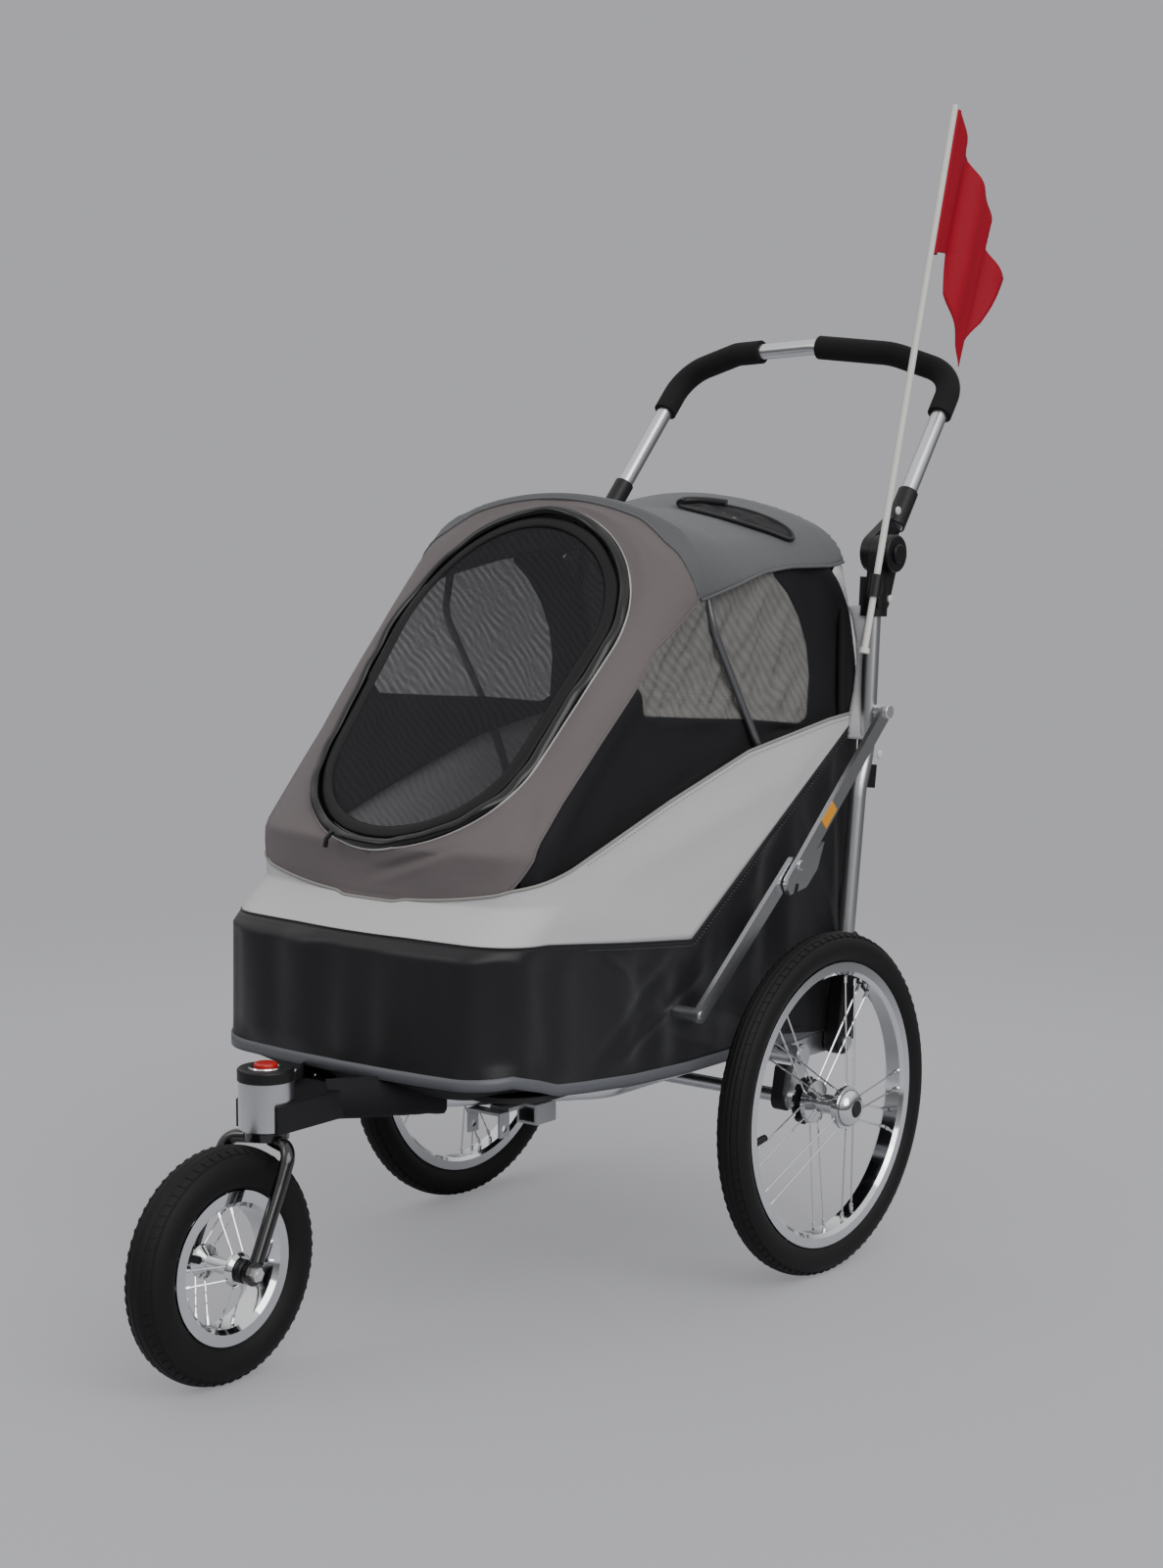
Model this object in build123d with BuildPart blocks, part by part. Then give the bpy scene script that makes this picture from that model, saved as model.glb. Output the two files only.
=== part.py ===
from build123d import *
import os
from math import cos, pi, radians, sin, sqrt, tan

# Folding three-wheeled pet stroller, in millimetres.
# It rolls towards -Y, its left side is +X and +Z is up. Stations along Y are measured from
# the rear axle and heights from the floor; at() and side() turn them into the part's frame,
# whose origin lies on the floor under the middle of the overall length.

# ---------------------------------------------------------------- driving dimensions
# Rear wheels
REAR_WHEEL_R = 200.0
REAR_TYRE_H = 34.0
WHEEL_OUTSET = 50.5
REAR_RIM_DEPTH = 15.0
REAR_RIM_W = 27.0
REAR_SPOKES = 20
REAR_VALVE_TURN = 188.0
HUB_BARREL_R = 11.0
HUB_FLANGE_R = 25.0
HUB_INNER_FLANGE_X = -13.0
HUB_OUTER_FLANGE_X = 31.0
HUB_CAP_R = 22.0
HUB_OUT_X = 45.0
HUB_IN_X = -22.0

# Front wheel
FRONT_WHEEL_R = 125.0
FRONT_TYRE_H = 44.0
FRONT_RIM_DEPTH = 17.0
FRONT_RIM_W = 37.0
FRONT_SPOKES = 16
FRONT_VALVE_TURN = 158.0
FRONT_BARREL_R = 8.5
FRONT_FLANGE_R = 18.0
FRONT_HUB_HALF = 30.0
WHEELBASE = 709.0

# Tyres, rims and spokes
RIM_WALL = 1.8
BEAD_DEPTH = 8.0
TYRE_WALL = 3.0
TREAD_WALL = 4.5
SPOKE_D = 2.2
NIPPLE_D = 4.4
NIPPLE_L = 9.0
SPOKE_LEAN = 14.0
SPOKE_GAP = 1.2
VALVE_D = 8.0
VALVE_L = 26.0

# Steering head and fork
TRAIL = -69.0
HEAD_D = 58.0
HEAD_LOW = 255.0
HEAD_HIGH = 308.0
STEM_D = 22.0
CAP_H = 13.0
BUTTON_D = 25.0
BUTTON_RISE = 5.0
BUTTON_TRAVEL = 4.0
CROWN_H = 9.0
FORK_TUBE_D = 15.0
FORK_HALF = 46.0
FRONT_AXLE_D = 8.0

# Floor frame
RAIL_D = 22.0
RAIL_INSET = 18.0
RAIL_Z = 262.0
RAIL_HEAD_Z = 269.0
RAIL_SPREAD = 0.671
RAIL_APEX_BACK = 61.0
RAIL_START_BACK = 83.0
RAIL_END_Y = 172.0
FRONT_CROSS_BACK = 46.8
REAR_CROSS_Y = 20.0
REAR_CROSS_Z = 246.0
CROSS_OUTSET = 10.0
AXLE_TUBE_D = 16.0
AXLE_PIN_D = 12.0
AXLE_TUBE_OUTSET = 12.0
BRACKET_OUTSET = 4.0
BRACKET_T = 4.0
FLOOR_T = 6.0

# Rear frame, links and their pivots (station, height)
UPRIGHT_D = 20.0
UPRIGHT_GAP = 18.0
FOLD_PIVOT = (105.0, 248.0)
LINK_LOW_PIVOT = (-200.0, 333.0)
LINK_HIGH_PIVOT = (163.0, 640.0)
LINK_MID_PIVOT = (-20.0, 479.0)
UPRIGHT_KNEE_LOW = (143.0, 550.0)
UPRIGHT_KNEE_HIGH = (159.0, 592.0)
UPRIGHT_TOP = (170.0, 778.0)
PIVOT_PIN_D = 8.0
LINK_W = 18.0
LINK_T = 6.0
LINK_GAP = 2.0

# Handle and its joints
HINGE_AXIS = (182.0, 826.0)
HINGE_DISC_R = 22.0
HINGE_SPLIT_INSET = 2.3
HANDLE_INSET = 17.0
HANDLE_FOOT_INSET = 5.0
HANDLE_D = 20.0
GRIP_D = 30.0
LEG_FOOT = (222.0, 856.0)
LEG_TOP = (376.0, 1035.0)
BAR_TOP = (370.0, 1071.0)
BAR_SHOULDER_INSET = 87.0
BAR_SHOULDER = (371.0, 1062.0)
GRIP_NEAR_END_X = 10.0
GRIP_FAR_END_X = -80.0
KNOB_R = 11.5
KNOB_TRAVEL = 4.0

# Cabin
CABIN_HALF = 204.0
CLOTH = 2.0
SIDE_SHAVE = 0.4
SIDE_INSET = 11.6
CABIN_REAR = 187.0
FRONT_CORNER_R = 62.0
REAR_CORNER_R = 25.0
HOOP_D = 9.0
SLOPE_FOOT = (-482.0, 535.0)
SLOPE_TOP = (-151.0, 895.0)
WINDOW_LOW_R = 141.0
WINDOW_HIGH_R = 153.0
WINDOW_PITCH = 159.0
WINDOW_FOOT = 8.0
DOOR_GAP = 1.6
ROOF_R = 420.0
ROOF_SHOULDER_R = 80.0

# Tow hitch, flag and brake
TOW_BACK = 219.0
TOW_SOCKET_BACK = 272.0
TOW_OUTSET = 4.2
TOW_BAR = 21.0
TOW_PIN_R = 4.0
FLAG_OUTSET = 36.0
FLAG_POLE_D = 8.0
FLAG_POLE_LOW = (94.0, 715.0)
FLAG_POLE_HIGH = (275.0, 1351.0)
FLAG_HOLDER_Z = 792.0
PEDAL_X = -125.0
FLAG_REAR = 392.0

# Fits
FIT = 0.05
EASE = 0.3

# ---------------------------------------------------------------- derived places
FRONT_AXLE_Y = -WHEELBASE
HEAD_Y = FRONT_AXLE_Y - TRAIL
AXLE_Y = (WHEELBASE + FRONT_WHEEL_R - FLAG_REAR) / 2
RAIL_X = CABIN_HALF - RAIL_INSET
RAIL_APEX_Y = HEAD_Y + RAIL_APEX_BACK
RAIL_START_Y = HEAD_Y + RAIL_START_BACK
RAIL_CORNER_Y = RAIL_APEX_Y + RAIL_X / RAIL_SPREAD
FRONT_CROSS_Y = RAIL_CORNER_Y + FRONT_CROSS_BACK
UPRIGHT_X = CABIN_HALF + UPRIGHT_GAP
CROSS_HALF = UPRIGHT_X + CROSS_OUTSET
AXLE_TUBE_HALF = UPRIGHT_X + AXLE_TUBE_OUTSET
BRACKET_X = UPRIGHT_X + BRACKET_OUTSET
WHEEL_X = UPRIGHT_X + WHEEL_OUTSET
HINGE_SPLIT_X = UPRIGHT_X - HINGE_SPLIT_INSET
HANDLE_X = UPRIGHT_X - HANDLE_INSET
HANDLE_FOOT_X = UPRIGHT_X - HANDLE_FOOT_INSET
BAR_SHOULDER_X = HANDLE_X - BAR_SHOULDER_INSET
FLAG_X = UPRIGHT_X + FLAG_OUTSET
REAR_RIM_R = REAR_WHEEL_R - REAR_TYRE_H
FRONT_RIM_R = FRONT_WHEEL_R - FRONT_TYRE_H
TOW_Y = HEAD_Y + TOW_BACK
TOW_SOCKET_Y = HEAD_Y + TOW_SOCKET_BACK
TOW_X = RAIL_SPREAD * ((TOW_Y + TOW_SOCKET_Y) / 2 - RAIL_APEX_Y) + TOW_OUTSET
CROWN_TOP = HEAD_LOW - EASE
CROWN_LOW = CROWN_TOP - CROWN_H
RAIL_TOP = RAIL_Z + RAIL_D / 2
LOWER_LINK_X = UPRIGHT_X + UPRIGHT_D / 2 + 3.0
UPPER_LINK_X = LOWER_LINK_X + LINK_T + LINK_GAP
SIDE_X = CABIN_HALF - SIDE_INSET
HOOP_X = SIDE_X + EASE + HOOP_D / 2

os.makedirs("parts", exist_ok=True)


# ---------------------------------------------------------------- frames and helpers
def at(x, y, z):
    """The point at station y and height z, in the part's frame."""
    return (x, AXLE_Y + y, z)


def side(x):
    """Plane at x whose local X runs rearwards from the rear axle and local Y upwards."""
    return Plane(origin=(x, AXLE_Y, 0), x_dir=(0, 1, 0), z_dir=(1, 0, 0))


def wheel_plane(x, y, z):
    """Plane through a wheel's axis: local X along the axle, local Y outwards from it."""
    return Plane(origin=at(x, y, z), x_dir=(1, 0, 0), z_dir=(0, -1, 0))


def save_pair(piece, name):
    """Writes a left-hand piece and its mirror image on the right."""
    with BuildPart() as other:
        mirror(piece.part, about=Plane.YZ)
    for hand, half in (("left", piece), ("right", other)):
        half.part.label = f"{name}_{hand}"
        export_step(half.part, f"parts/{name}_{hand}.step")


# ---------------------------------------------------------------- wheels
def tyre_at(x, y, z, outer_r, rim_r, rim_w):
    """Hollow tyre whose beads stand inside the rim's flanges."""
    bead = rim_w / 2 - RIM_WALL - EASE
    lining = bead - TYRE_WALL
    with BuildPart() as tyre:
        with BuildSketch(wheel_plane(x, y, z)):
            with BuildLine():
                ThreePointArc((bead, rim_r + 0.5), (0, outer_r), (-bead, rim_r + 0.5))
                Polyline((-bead, rim_r + 0.5), (-bead, rim_r - BEAD_DEPTH),
                         (-lining, rim_r - BEAD_DEPTH), (-lining, rim_r))
                ThreePointArc((-lining, rim_r), (0, outer_r - TREAD_WALL), (lining, rim_r))
                Polyline((lining, rim_r), (lining, rim_r - BEAD_DEPTH),
                         (bead, rim_r - BEAD_DEPTH), (bead, rim_r + 0.5))
            make_face()
        revolve(axis=Axis(at(x, y, z), (1, 0, 0)))
    return tyre


def inner_tube_at(x, y, z, outer_r, rim_r, rim_depth, rim_w, valve_turn):
    """Inflated tube inside the tyre, with its valve stem and cap through the rim."""
    lining = rim_w / 2 - RIM_WALL - EASE - TYRE_WALL
    rise = outer_r - TREAD_WALL - rim_r
    lining_r = (lining**2 + rise**2) / (2 * rise)
    middle = outer_r - TREAD_WALL - lining_r
    toward = radians(valve_turn)
    root = middle - lining_r / 2
    with BuildPart() as tube:
        with BuildSketch(wheel_plane(x, y, z)):
            with Locations((0, middle)):
                Circle(lining_r - EASE)
        revolve(axis=Axis(at(x, y, z), (1, 0, 0)))
        inward = (0, -cos(toward), -sin(toward))
        foot = at(x, y + root * cos(toward), z + root * sin(toward))
        length = root - (rim_r - rim_depth) + VALVE_L
        with Locations(Plane(origin=foot, z_dir=inward)):
            Cylinder(VALVE_D / 2 - 1.0, length, align=(Align.CENTER, Align.CENTER, Align.MIN))
        cap = at(x, y + (root - length) * cos(toward), z + (root - length) * sin(toward))
        with Locations(Plane(origin=cap, z_dir=inward)):
            Cylinder(VALVE_D / 2, VALVE_L / 3)
    return tube


def rim_at(x, y, z, rim_r, depth, width, valve_turn):
    """Channel-shaped rim with a hole for the valve."""
    half, bed, corner = width / 2, rim_r - depth, depth * 0.28
    inner, inner_bed = half - RIM_WALL, bed + RIM_WALL
    toward = radians(valve_turn)
    with BuildPart() as rim:
        with BuildSketch(wheel_plane(x, y, z)):
            Polygon((-half, rim_r), (-half, bed + corner), (-half + corner, bed),
                    (half - corner, bed), (half, bed + corner), (half, rim_r),
                    (inner, rim_r), (inner, inner_bed + corner), (inner - corner, inner_bed),
                    (-inner + corner, inner_bed), (-inner, inner_bed + corner),
                    (-inner, rim_r), align=None)
        revolve(axis=Axis(at(x, y, z), (1, 0, 0)))
        hole = at(x, y + bed * cos(toward), z + bed * sin(toward))
        with Locations(Plane(origin=hole, z_dir=(0, cos(toward), sin(toward)))):
            Cylinder(VALVE_D / 2, depth, mode=Mode.SUBTRACT)
    return rim


def spokes_at(x, y, z, flanges, flange_r, rim_x, bed_r, count):
    """Wire spokes with their nipples, from the hub's two flanges to the rim's bed."""
    with BuildPart() as spokes:
        for k in range(count):
            flank = k % 2
            lean = radians(SPOKE_LEAN if (k // 2) % 2 else -SPOKE_LEAN)
            turn = 2 * pi * k / count
            start = Vector(at(x + flanges[flank], y + flange_r * cos(turn),
                              z + flange_r * sin(turn)))
            end = Vector(at(x + (2 * flank - 1) * rim_x, y + bed_r * cos(turn + lean),
                            z + bed_r * sin(turn + lean)))
            run = end - start
            with BuildSketch(Plane(origin=start, z_dir=run)):
                RegularPolygon(SPOKE_D / 2, 6)
            extrude(amount=run.length)
            with BuildSketch(Plane(origin=end, z_dir=-run)):
                RegularPolygon(NIPPLE_D / 2, 6)
            extrude(amount=NIPPLE_L)
    return spokes


rear_tyre = tyre_at(WHEEL_X, 0, REAR_WHEEL_R, REAR_WHEEL_R, REAR_RIM_R, REAR_RIM_W)
save_pair(rear_tyre, "rear_tyre")

rear_inner_tube = inner_tube_at(WHEEL_X, 0, REAR_WHEEL_R, REAR_WHEEL_R, REAR_RIM_R,
                                REAR_RIM_DEPTH, REAR_RIM_W, REAR_VALVE_TURN)
save_pair(rear_inner_tube, "rear_inner_tube")

rear_rim = rim_at(WHEEL_X, 0, REAR_WHEEL_R, REAR_RIM_R, REAR_RIM_DEPTH, REAR_RIM_W,
                  REAR_VALVE_TURN)
save_pair(rear_rim, "rear_rim")

rear_spokes = spokes_at(WHEEL_X, 0, REAR_WHEEL_R, (HUB_INNER_FLANGE_X, HUB_OUTER_FLANGE_X),
                        HUB_FLANGE_R + SPOKE_GAP, 4.0,
                        REAR_RIM_R - REAR_RIM_DEPTH - SPOKE_GAP,
                        REAR_SPOKES)
save_pair(rear_spokes, "rear_spokes")

HUB_AXIS = Axis(at(WHEEL_X, 0, REAR_WHEEL_R), (1, 0, 0))
RECESS_R = HUB_CAP_R - 12.0
RECESS_X = HUB_OUT_X - 15.0
with BuildPart() as rear_hub:
    with BuildSketch(wheel_plane(WHEEL_X, 0, REAR_WHEEL_R)):
        with BuildLine():
            Polyline((HUB_OUT_X, RECESS_R), (RECESS_X, RECESS_R),
                     (RECESS_X, AXLE_PIN_D / 2 + FIT), (HUB_IN_X, AXLE_PIN_D / 2 + FIT),
                     (HUB_IN_X, HUB_BARREL_R), (HUB_INNER_FLANGE_X - 3, HUB_BARREL_R),
                     (HUB_INNER_FLANGE_X - 3, HUB_FLANGE_R),
                     (HUB_INNER_FLANGE_X + 3, HUB_FLANGE_R),
                     (HUB_INNER_FLANGE_X + 9, HUB_BARREL_R),
                     (HUB_OUTER_FLANGE_X - 12, HUB_BARREL_R),
                     (HUB_OUTER_FLANGE_X - 7, HUB_CAP_R),
                     (HUB_OUTER_FLANGE_X - 2, HUB_CAP_R),
                     (HUB_OUTER_FLANGE_X - 2, HUB_FLANGE_R),
                     (HUB_OUTER_FLANGE_X + 2, HUB_FLANGE_R),
                     (HUB_OUTER_FLANGE_X + 2, HUB_CAP_R))
            ThreePointArc((HUB_OUTER_FLANGE_X + 2, HUB_CAP_R),
                          (HUB_OUT_X - 3, HUB_CAP_R - 4.5), (HUB_OUT_X, RECESS_R))
        make_face()
    revolve(axis=HUB_AXIS)
save_pair(rear_hub, "rear_hub")

BRAKE_DISC_R = 28.0
BRAKE_TEETH = 12
BRAKE_DISC_T = 4.0
with BuildPart() as brake_disc:
    with BuildSketch(side(WHEEL_X + HUB_IN_X - BRAKE_DISC_T)):
        with Locations((0, REAR_WHEEL_R)):
            Circle(BRAKE_DISC_R)
            Circle(AXLE_PIN_D / 2 + 1.0, mode=Mode.SUBTRACT)
            with PolarLocations(BRAKE_DISC_R, BRAKE_TEETH):
                Rectangle(9.0, 6.5, mode=Mode.SUBTRACT)
    extrude(amount=BRAKE_DISC_T)
save_pair(brake_disc, "brake_disc")

PIN_HEAD_X = RECESS_X + EASE
BUTTON_BORE = 2.5
with BuildPart() as axle_pins:
    with BuildSketch(side(AXLE_TUBE_HALF - 34.0)):
        with Locations((0, REAR_WHEEL_R)):
            Circle(AXLE_PIN_D / 2)
    extrude(amount=WHEEL_X + PIN_HEAD_X - (AXLE_TUBE_HALF - 34.0))
    with BuildSketch(side(WHEEL_X + PIN_HEAD_X)):
        with Locations((0, REAR_WHEEL_R)):
            Circle(RECESS_R - EASE)
    extrude(amount=4.0)
    with BuildSketch(side(WHEEL_X + PIN_HEAD_X + 4.0)):
        with Locations((0, REAR_WHEEL_R)):
            Circle(BUTTON_BORE + FIT)
    extrude(amount=-12.0, mode=Mode.SUBTRACT)
    mirror(about=Plane.YZ)
axle_pins.part.label = "axle_pins"
export_step(axle_pins.part, "parts/axle_pins.step")

WHEEL_BUTTON_TRAVEL = 3.0
WHEEL_BUTTON_X = WHEEL_X + PIN_HEAD_X + 4.0 + WHEEL_BUTTON_TRAVEL + EASE
with BuildPart() as wheel_button:
    with BuildSketch(side(WHEEL_BUTTON_X)):
        with Locations((0, REAR_WHEEL_R)):
            Circle(RECESS_R - 0.6)
    extrude(amount=WHEEL_X + HUB_OUT_X + 1.5 - WHEEL_BUTTON_X)
    fillet(wheel_button.edges().sort_by(Axis.X)[-1], 1.5)
    with BuildSketch(side(WHEEL_BUTTON_X)):
        with Locations((0, REAR_WHEEL_R)):
            Circle(BUTTON_BORE)
    extrude(amount=-9.0)
save_pair(wheel_button, "wheel_button")

front_tyre = tyre_at(0, FRONT_AXLE_Y, FRONT_WHEEL_R, FRONT_WHEEL_R, FRONT_RIM_R, FRONT_RIM_W)
front_tyre.part.label = "front_tyre"
export_step(front_tyre.part, "parts/front_tyre.step")

front_inner_tube = inner_tube_at(0, FRONT_AXLE_Y, FRONT_WHEEL_R, FRONT_WHEEL_R, FRONT_RIM_R,
                                 FRONT_RIM_DEPTH, FRONT_RIM_W, FRONT_VALVE_TURN)
front_inner_tube.part.label = "front_inner_tube"
export_step(front_inner_tube.part, "parts/front_inner_tube.step")

front_rim = rim_at(0, FRONT_AXLE_Y, FRONT_WHEEL_R, FRONT_RIM_R, FRONT_RIM_DEPTH, FRONT_RIM_W,
                   FRONT_VALVE_TURN)
front_rim.part.label = "front_rim"
export_step(front_rim.part, "parts/front_rim.step")

FRONT_FLANGE_X = FRONT_HUB_HALF - 6.0
front_spokes = spokes_at(0, FRONT_AXLE_Y, FRONT_WHEEL_R, (-FRONT_FLANGE_X, FRONT_FLANGE_X),
                         FRONT_FLANGE_R + SPOKE_GAP, 5.0,
                         FRONT_RIM_R - FRONT_RIM_DEPTH - SPOKE_GAP,
                         FRONT_SPOKES)
front_spokes.part.label = "front_spokes"
export_step(front_spokes.part, "parts/front_spokes.step")

FRONT_AXIS = Axis(at(0, FRONT_AXLE_Y, FRONT_WHEEL_R), (1, 0, 0))
with BuildPart() as front_hub:
    with BuildSketch(wheel_plane(0, FRONT_AXLE_Y, FRONT_WHEEL_R)):
        with BuildLine():
            Polyline((0, FRONT_AXLE_D / 2 + FIT), (FRONT_HUB_HALF, FRONT_AXLE_D / 2 + FIT),
                     (FRONT_HUB_HALF, FRONT_FLANGE_R - 3), (FRONT_FLANGE_X + 2, FRONT_FLANGE_R),
                     (FRONT_FLANGE_X - 2, FRONT_FLANGE_R), (FRONT_FLANGE_X - 8, FRONT_BARREL_R),
                     (0, FRONT_BARREL_R))
            mirror(about=Plane.YZ)
        make_face()
    revolve(axis=FRONT_AXIS)
front_hub.part.label = "front_hub"
export_step(front_hub.part, "parts/front_hub.step")

with BuildPart() as front_axle:
    with BuildSketch(side(-FORK_HALF - 9.0)):
        with Locations((FRONT_AXLE_Y, FRONT_WHEEL_R)):
            Circle(FRONT_AXLE_D / 2)
    extrude(amount=2 * FORK_HALF + 18.0)
    for outward in (-1, 1):
        with BuildSketch(side(outward * (FORK_HALF + 2.0))):
            with Locations((FRONT_AXLE_Y, FRONT_WHEEL_R)):
                RegularPolygon(8.0, 6)
        extrude(amount=outward * 6.0)
front_axle.part.label = "front_axle"
export_step(front_axle.part, "parts/front_axle.step")


# ---------------------------------------------------------------- bent tubes
def bent_bar(points, radii, diameter):
    """Round bar through the points, each inner corner rounded to its own radius."""
    stops = [Vector(*point) for point in points]
    with BuildPart() as bar:
        with BuildLine():
            start = stops[0]
            for corner, after, radius in zip(stops[1:-1], stops[2:], radii):
                back = (start - corner).normalized()
                ahead = (after - corner).normalized()
                half = radians(back.get_angle(ahead)) / 2
                cut = radius / tan(half)
                crest = corner + (back + ahead).normalized() * (radius / sin(half) - radius)
                Line(start, corner + back * cut)
                ThreePointArc(corner + back * cut, crest, corner + ahead * cut)
                start = corner + ahead * cut
            Line(start, stops[-1])
        with BuildSketch(Plane(origin=stops[0], z_dir=stops[1] - stops[0])):
            Circle(diameter / 2)
        sweep()
    return bar.part


# ---------------------------------------------------------------- fork and head
fork_leg = bent_bar([at(12, HEAD_Y - 4, CROWN_LOW + 0.5),
                     at(FORK_HALF, HEAD_Y - 12, CROWN_LOW - 2.5),
                     at(FORK_HALF, HEAD_Y - 28, FRONT_WHEEL_R + 83),
                     at(FORK_HALF, FRONT_AXLE_Y, FRONT_WHEEL_R)], (17.0, 60.0), FORK_TUBE_D)
with BuildPart() as fork:
    with Locations(at(0, HEAD_Y, CROWN_LOW)):
        Cylinder(24.0, CROWN_H, align=(Align.CENTER, Align.CENTER, Align.MIN))
        Cylinder(STEM_D / 2, HEAD_HIGH - 8.0 - CROWN_LOW,
                 align=(Align.CENTER, Align.CENTER, Align.MIN))
    add(fork_leg)
    with BuildSketch(side(FORK_HALF - 4.0)):
        with Locations((FRONT_AXLE_Y, FRONT_WHEEL_R)):
            Circle(13.0)
    extrude(amount=6.0)
    with BuildSketch(side(FORK_HALF + 2.0)):
        with Locations((FRONT_AXLE_Y, FRONT_WHEEL_R)):
            Circle(13.0)
    extrude(amount=9.0, mode=Mode.SUBTRACT)
    with BuildSketch(side(FORK_HALF - 4.0)):
        with Locations((FRONT_AXLE_Y, FRONT_WHEEL_R)):
            Circle(13.0)
    extrude(amount=-9.0, mode=Mode.SUBTRACT)
    mirror(about=Plane.YZ)
    with BuildSketch(side(-FORK_HALF - 9.0)):
        with Locations((FRONT_AXLE_Y, FRONT_WHEEL_R)):
            Circle(FRONT_AXLE_D / 2)
    extrude(amount=2 * FORK_HALF + 18.0, mode=Mode.SUBTRACT)
fork.part.label = "fork"
export_step(fork.part, "parts/fork.step")

SOCKET_Y = RAIL_START_Y + 6.0
CONNECTOR_LOW = 256.0
SOCKET_WALL = 14.2
CONNECTOR_HIGH = 287.0
with BuildPart() as head_housing:
    with Locations(at(0, HEAD_Y, HEAD_LOW)):
        Cylinder(HEAD_D / 2, HEAD_HIGH - HEAD_LOW, align=(Align.CENTER, Align.CENTER, Align.MIN))
    chamfer(head_housing.edges().group_by(Axis.Z)[0], 2.0)
    with Locations(at(0, HEAD_Y, HEAD_LOW)):
        Cylinder(STEM_D / 2 + FIT, HEAD_HIGH - 6.0 - HEAD_LOW,
                 align=(Align.CENTER, Align.CENTER, Align.MIN), mode=Mode.SUBTRACT)
head_housing.part.label = "head_housing"
export_step(head_housing.part, "parts/head_housing.step")

CAP_TOP = HEAD_HIGH + CAP_H
BUTTON_FOOT = CAP_TOP + BUTTON_RISE - 10.0
with BuildPart() as head_cap:
    with Locations(at(0, HEAD_Y, HEAD_HIGH)):
        Cylinder(HEAD_D / 2 + 1.0, CAP_H, align=(Align.CENTER, Align.CENTER, Align.MIN))
    fillet(head_cap.edges().group_by(Axis.Z)[-1], 3.0)
    with Locations(at(0, HEAD_Y, BUTTON_FOOT - BUTTON_TRAVEL)):
        Cylinder(BUTTON_D / 2 + FIT, CAP_H, align=(Align.CENTER, Align.CENTER, Align.MIN),
                 mode=Mode.SUBTRACT)
head_cap.part.label = "head_cap"
export_step(head_cap.part, "parts/head_cap.step")

with BuildPart() as steering_button:
    with Locations(at(0, HEAD_Y, BUTTON_FOOT)):
        Cylinder(BUTTON_D / 2, 10.0, align=(Align.CENTER, Align.CENTER, Align.MIN))
    fillet(steering_button.edges().group_by(Axis.Z)[-1], 2.5)
steering_button.part.label = "steering_button"
export_step(steering_button.part, "parts/steering_button.step")

RAIL_START = at(RAIL_SPREAD * (RAIL_START_Y - RAIL_APEX_Y), RAIL_START_Y, RAIL_HEAD_Z)
RAIL_CORNER = at(RAIL_X, RAIL_CORNER_Y, RAIL_Z)
RAIL_END = at(RAIL_X, RAIL_END_Y, RAIL_Z)

RAIL_POINTS = [RAIL_START, RAIL_CORNER, RAIL_END]
rail_socket = bent_bar(RAIL_POINTS, (60.0,), RAIL_D + 0.2)
with BuildPart() as head_connector:
    with BuildSketch(Plane.XY.offset(CONNECTOR_LOW)):
        with Locations(at(0, HEAD_Y, 0)[:2]):
            Circle(HEAD_D / 2 + 4.0)
        with Locations(at(0, SOCKET_Y, 0)[:2]):
            Rectangle(2 * (RAIL_SPREAD * (SOCKET_Y - RAIL_APEX_Y) + SOCKET_WALL), 14.0)
        make_hull()
        with Locations(at(0, HEAD_Y - 14.0, 0)[:2]):
            Rectangle(2 * HEAD_D, 2 * HEAD_D - 50.0, align=(Align.CENTER, Align.MAX),
                      mode=Mode.SUBTRACT)
    extrude(amount=CONNECTOR_HIGH - CONNECTOR_LOW)
    chamfer(head_connector.edges().group_by(Axis.Z)[-1], 2.0)
    with Locations(at(0, HEAD_Y, CONNECTOR_LOW)):
        Cylinder(HEAD_D / 2 + 0.1, CONNECTOR_HIGH, mode=Mode.SUBTRACT,
                 align=(Align.CENTER, Align.CENTER, Align.MIN))
    add(rail_socket, mode=Mode.SUBTRACT)
    add(mirror(rail_socket, about=Plane.YZ, mode=Mode.PRIVATE), mode=Mode.SUBTRACT)
head_connector.part.label = "head_connector"
export_step(head_connector.part, "parts/head_connector.step")


# ---------------------------------------------------------------- floor frame
LINK_PLATE_X = RAIL_X + RAIL_D / 2 - 5.0
LINK_PLATE_T = 5.0
STUD_D = 10.0
STUD_END = UPPER_LINK_X - 0.8
rail_bar = bent_bar(RAIL_POINTS, (60.0,), RAIL_D)
with BuildPart() as rails:
    add(rail_bar)
    with BuildSketch(side(LINK_PLATE_X)):
        with Locations(LINK_LOW_PIVOT):
            Circle(14.0)
        with Locations((LINK_LOW_PIVOT[0], RAIL_Z)):
            Rectangle(44.0, 12.0)
        make_hull()
    extrude(amount=LINK_PLATE_T)
    with BuildSketch(side(LINK_PLATE_X)):
        with Locations(LINK_LOW_PIVOT):
            Circle(STUD_D / 2)
    extrude(amount=STUD_END - LINK_PLATE_X)
    with BuildSketch(side(CABIN_HALF + 1.0)):
        with Locations(LINK_LOW_PIVOT):
            Circle(STUD_D / 2 + 3.0)
    extrude(amount=LOWER_LINK_X - CABIN_HALF - 1.0 - EASE)
    with Locations(Plane(origin=at(0, REAR_CROSS_Y, REAR_CROSS_Z), z_dir=(1, 0, 0))):
        Cylinder(RAIL_D / 2, 2 * CROSS_HALF, mode=Mode.SUBTRACT)
    mirror(about=Plane.YZ)
    with Locations(Plane(origin=at(0, FRONT_CROSS_Y, RAIL_Z), z_dir=(1, 0, 0))):
        Cylinder(RAIL_D / 2, 2 * (RAIL_X - 4.0))
rails.part.label = "rails"
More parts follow.
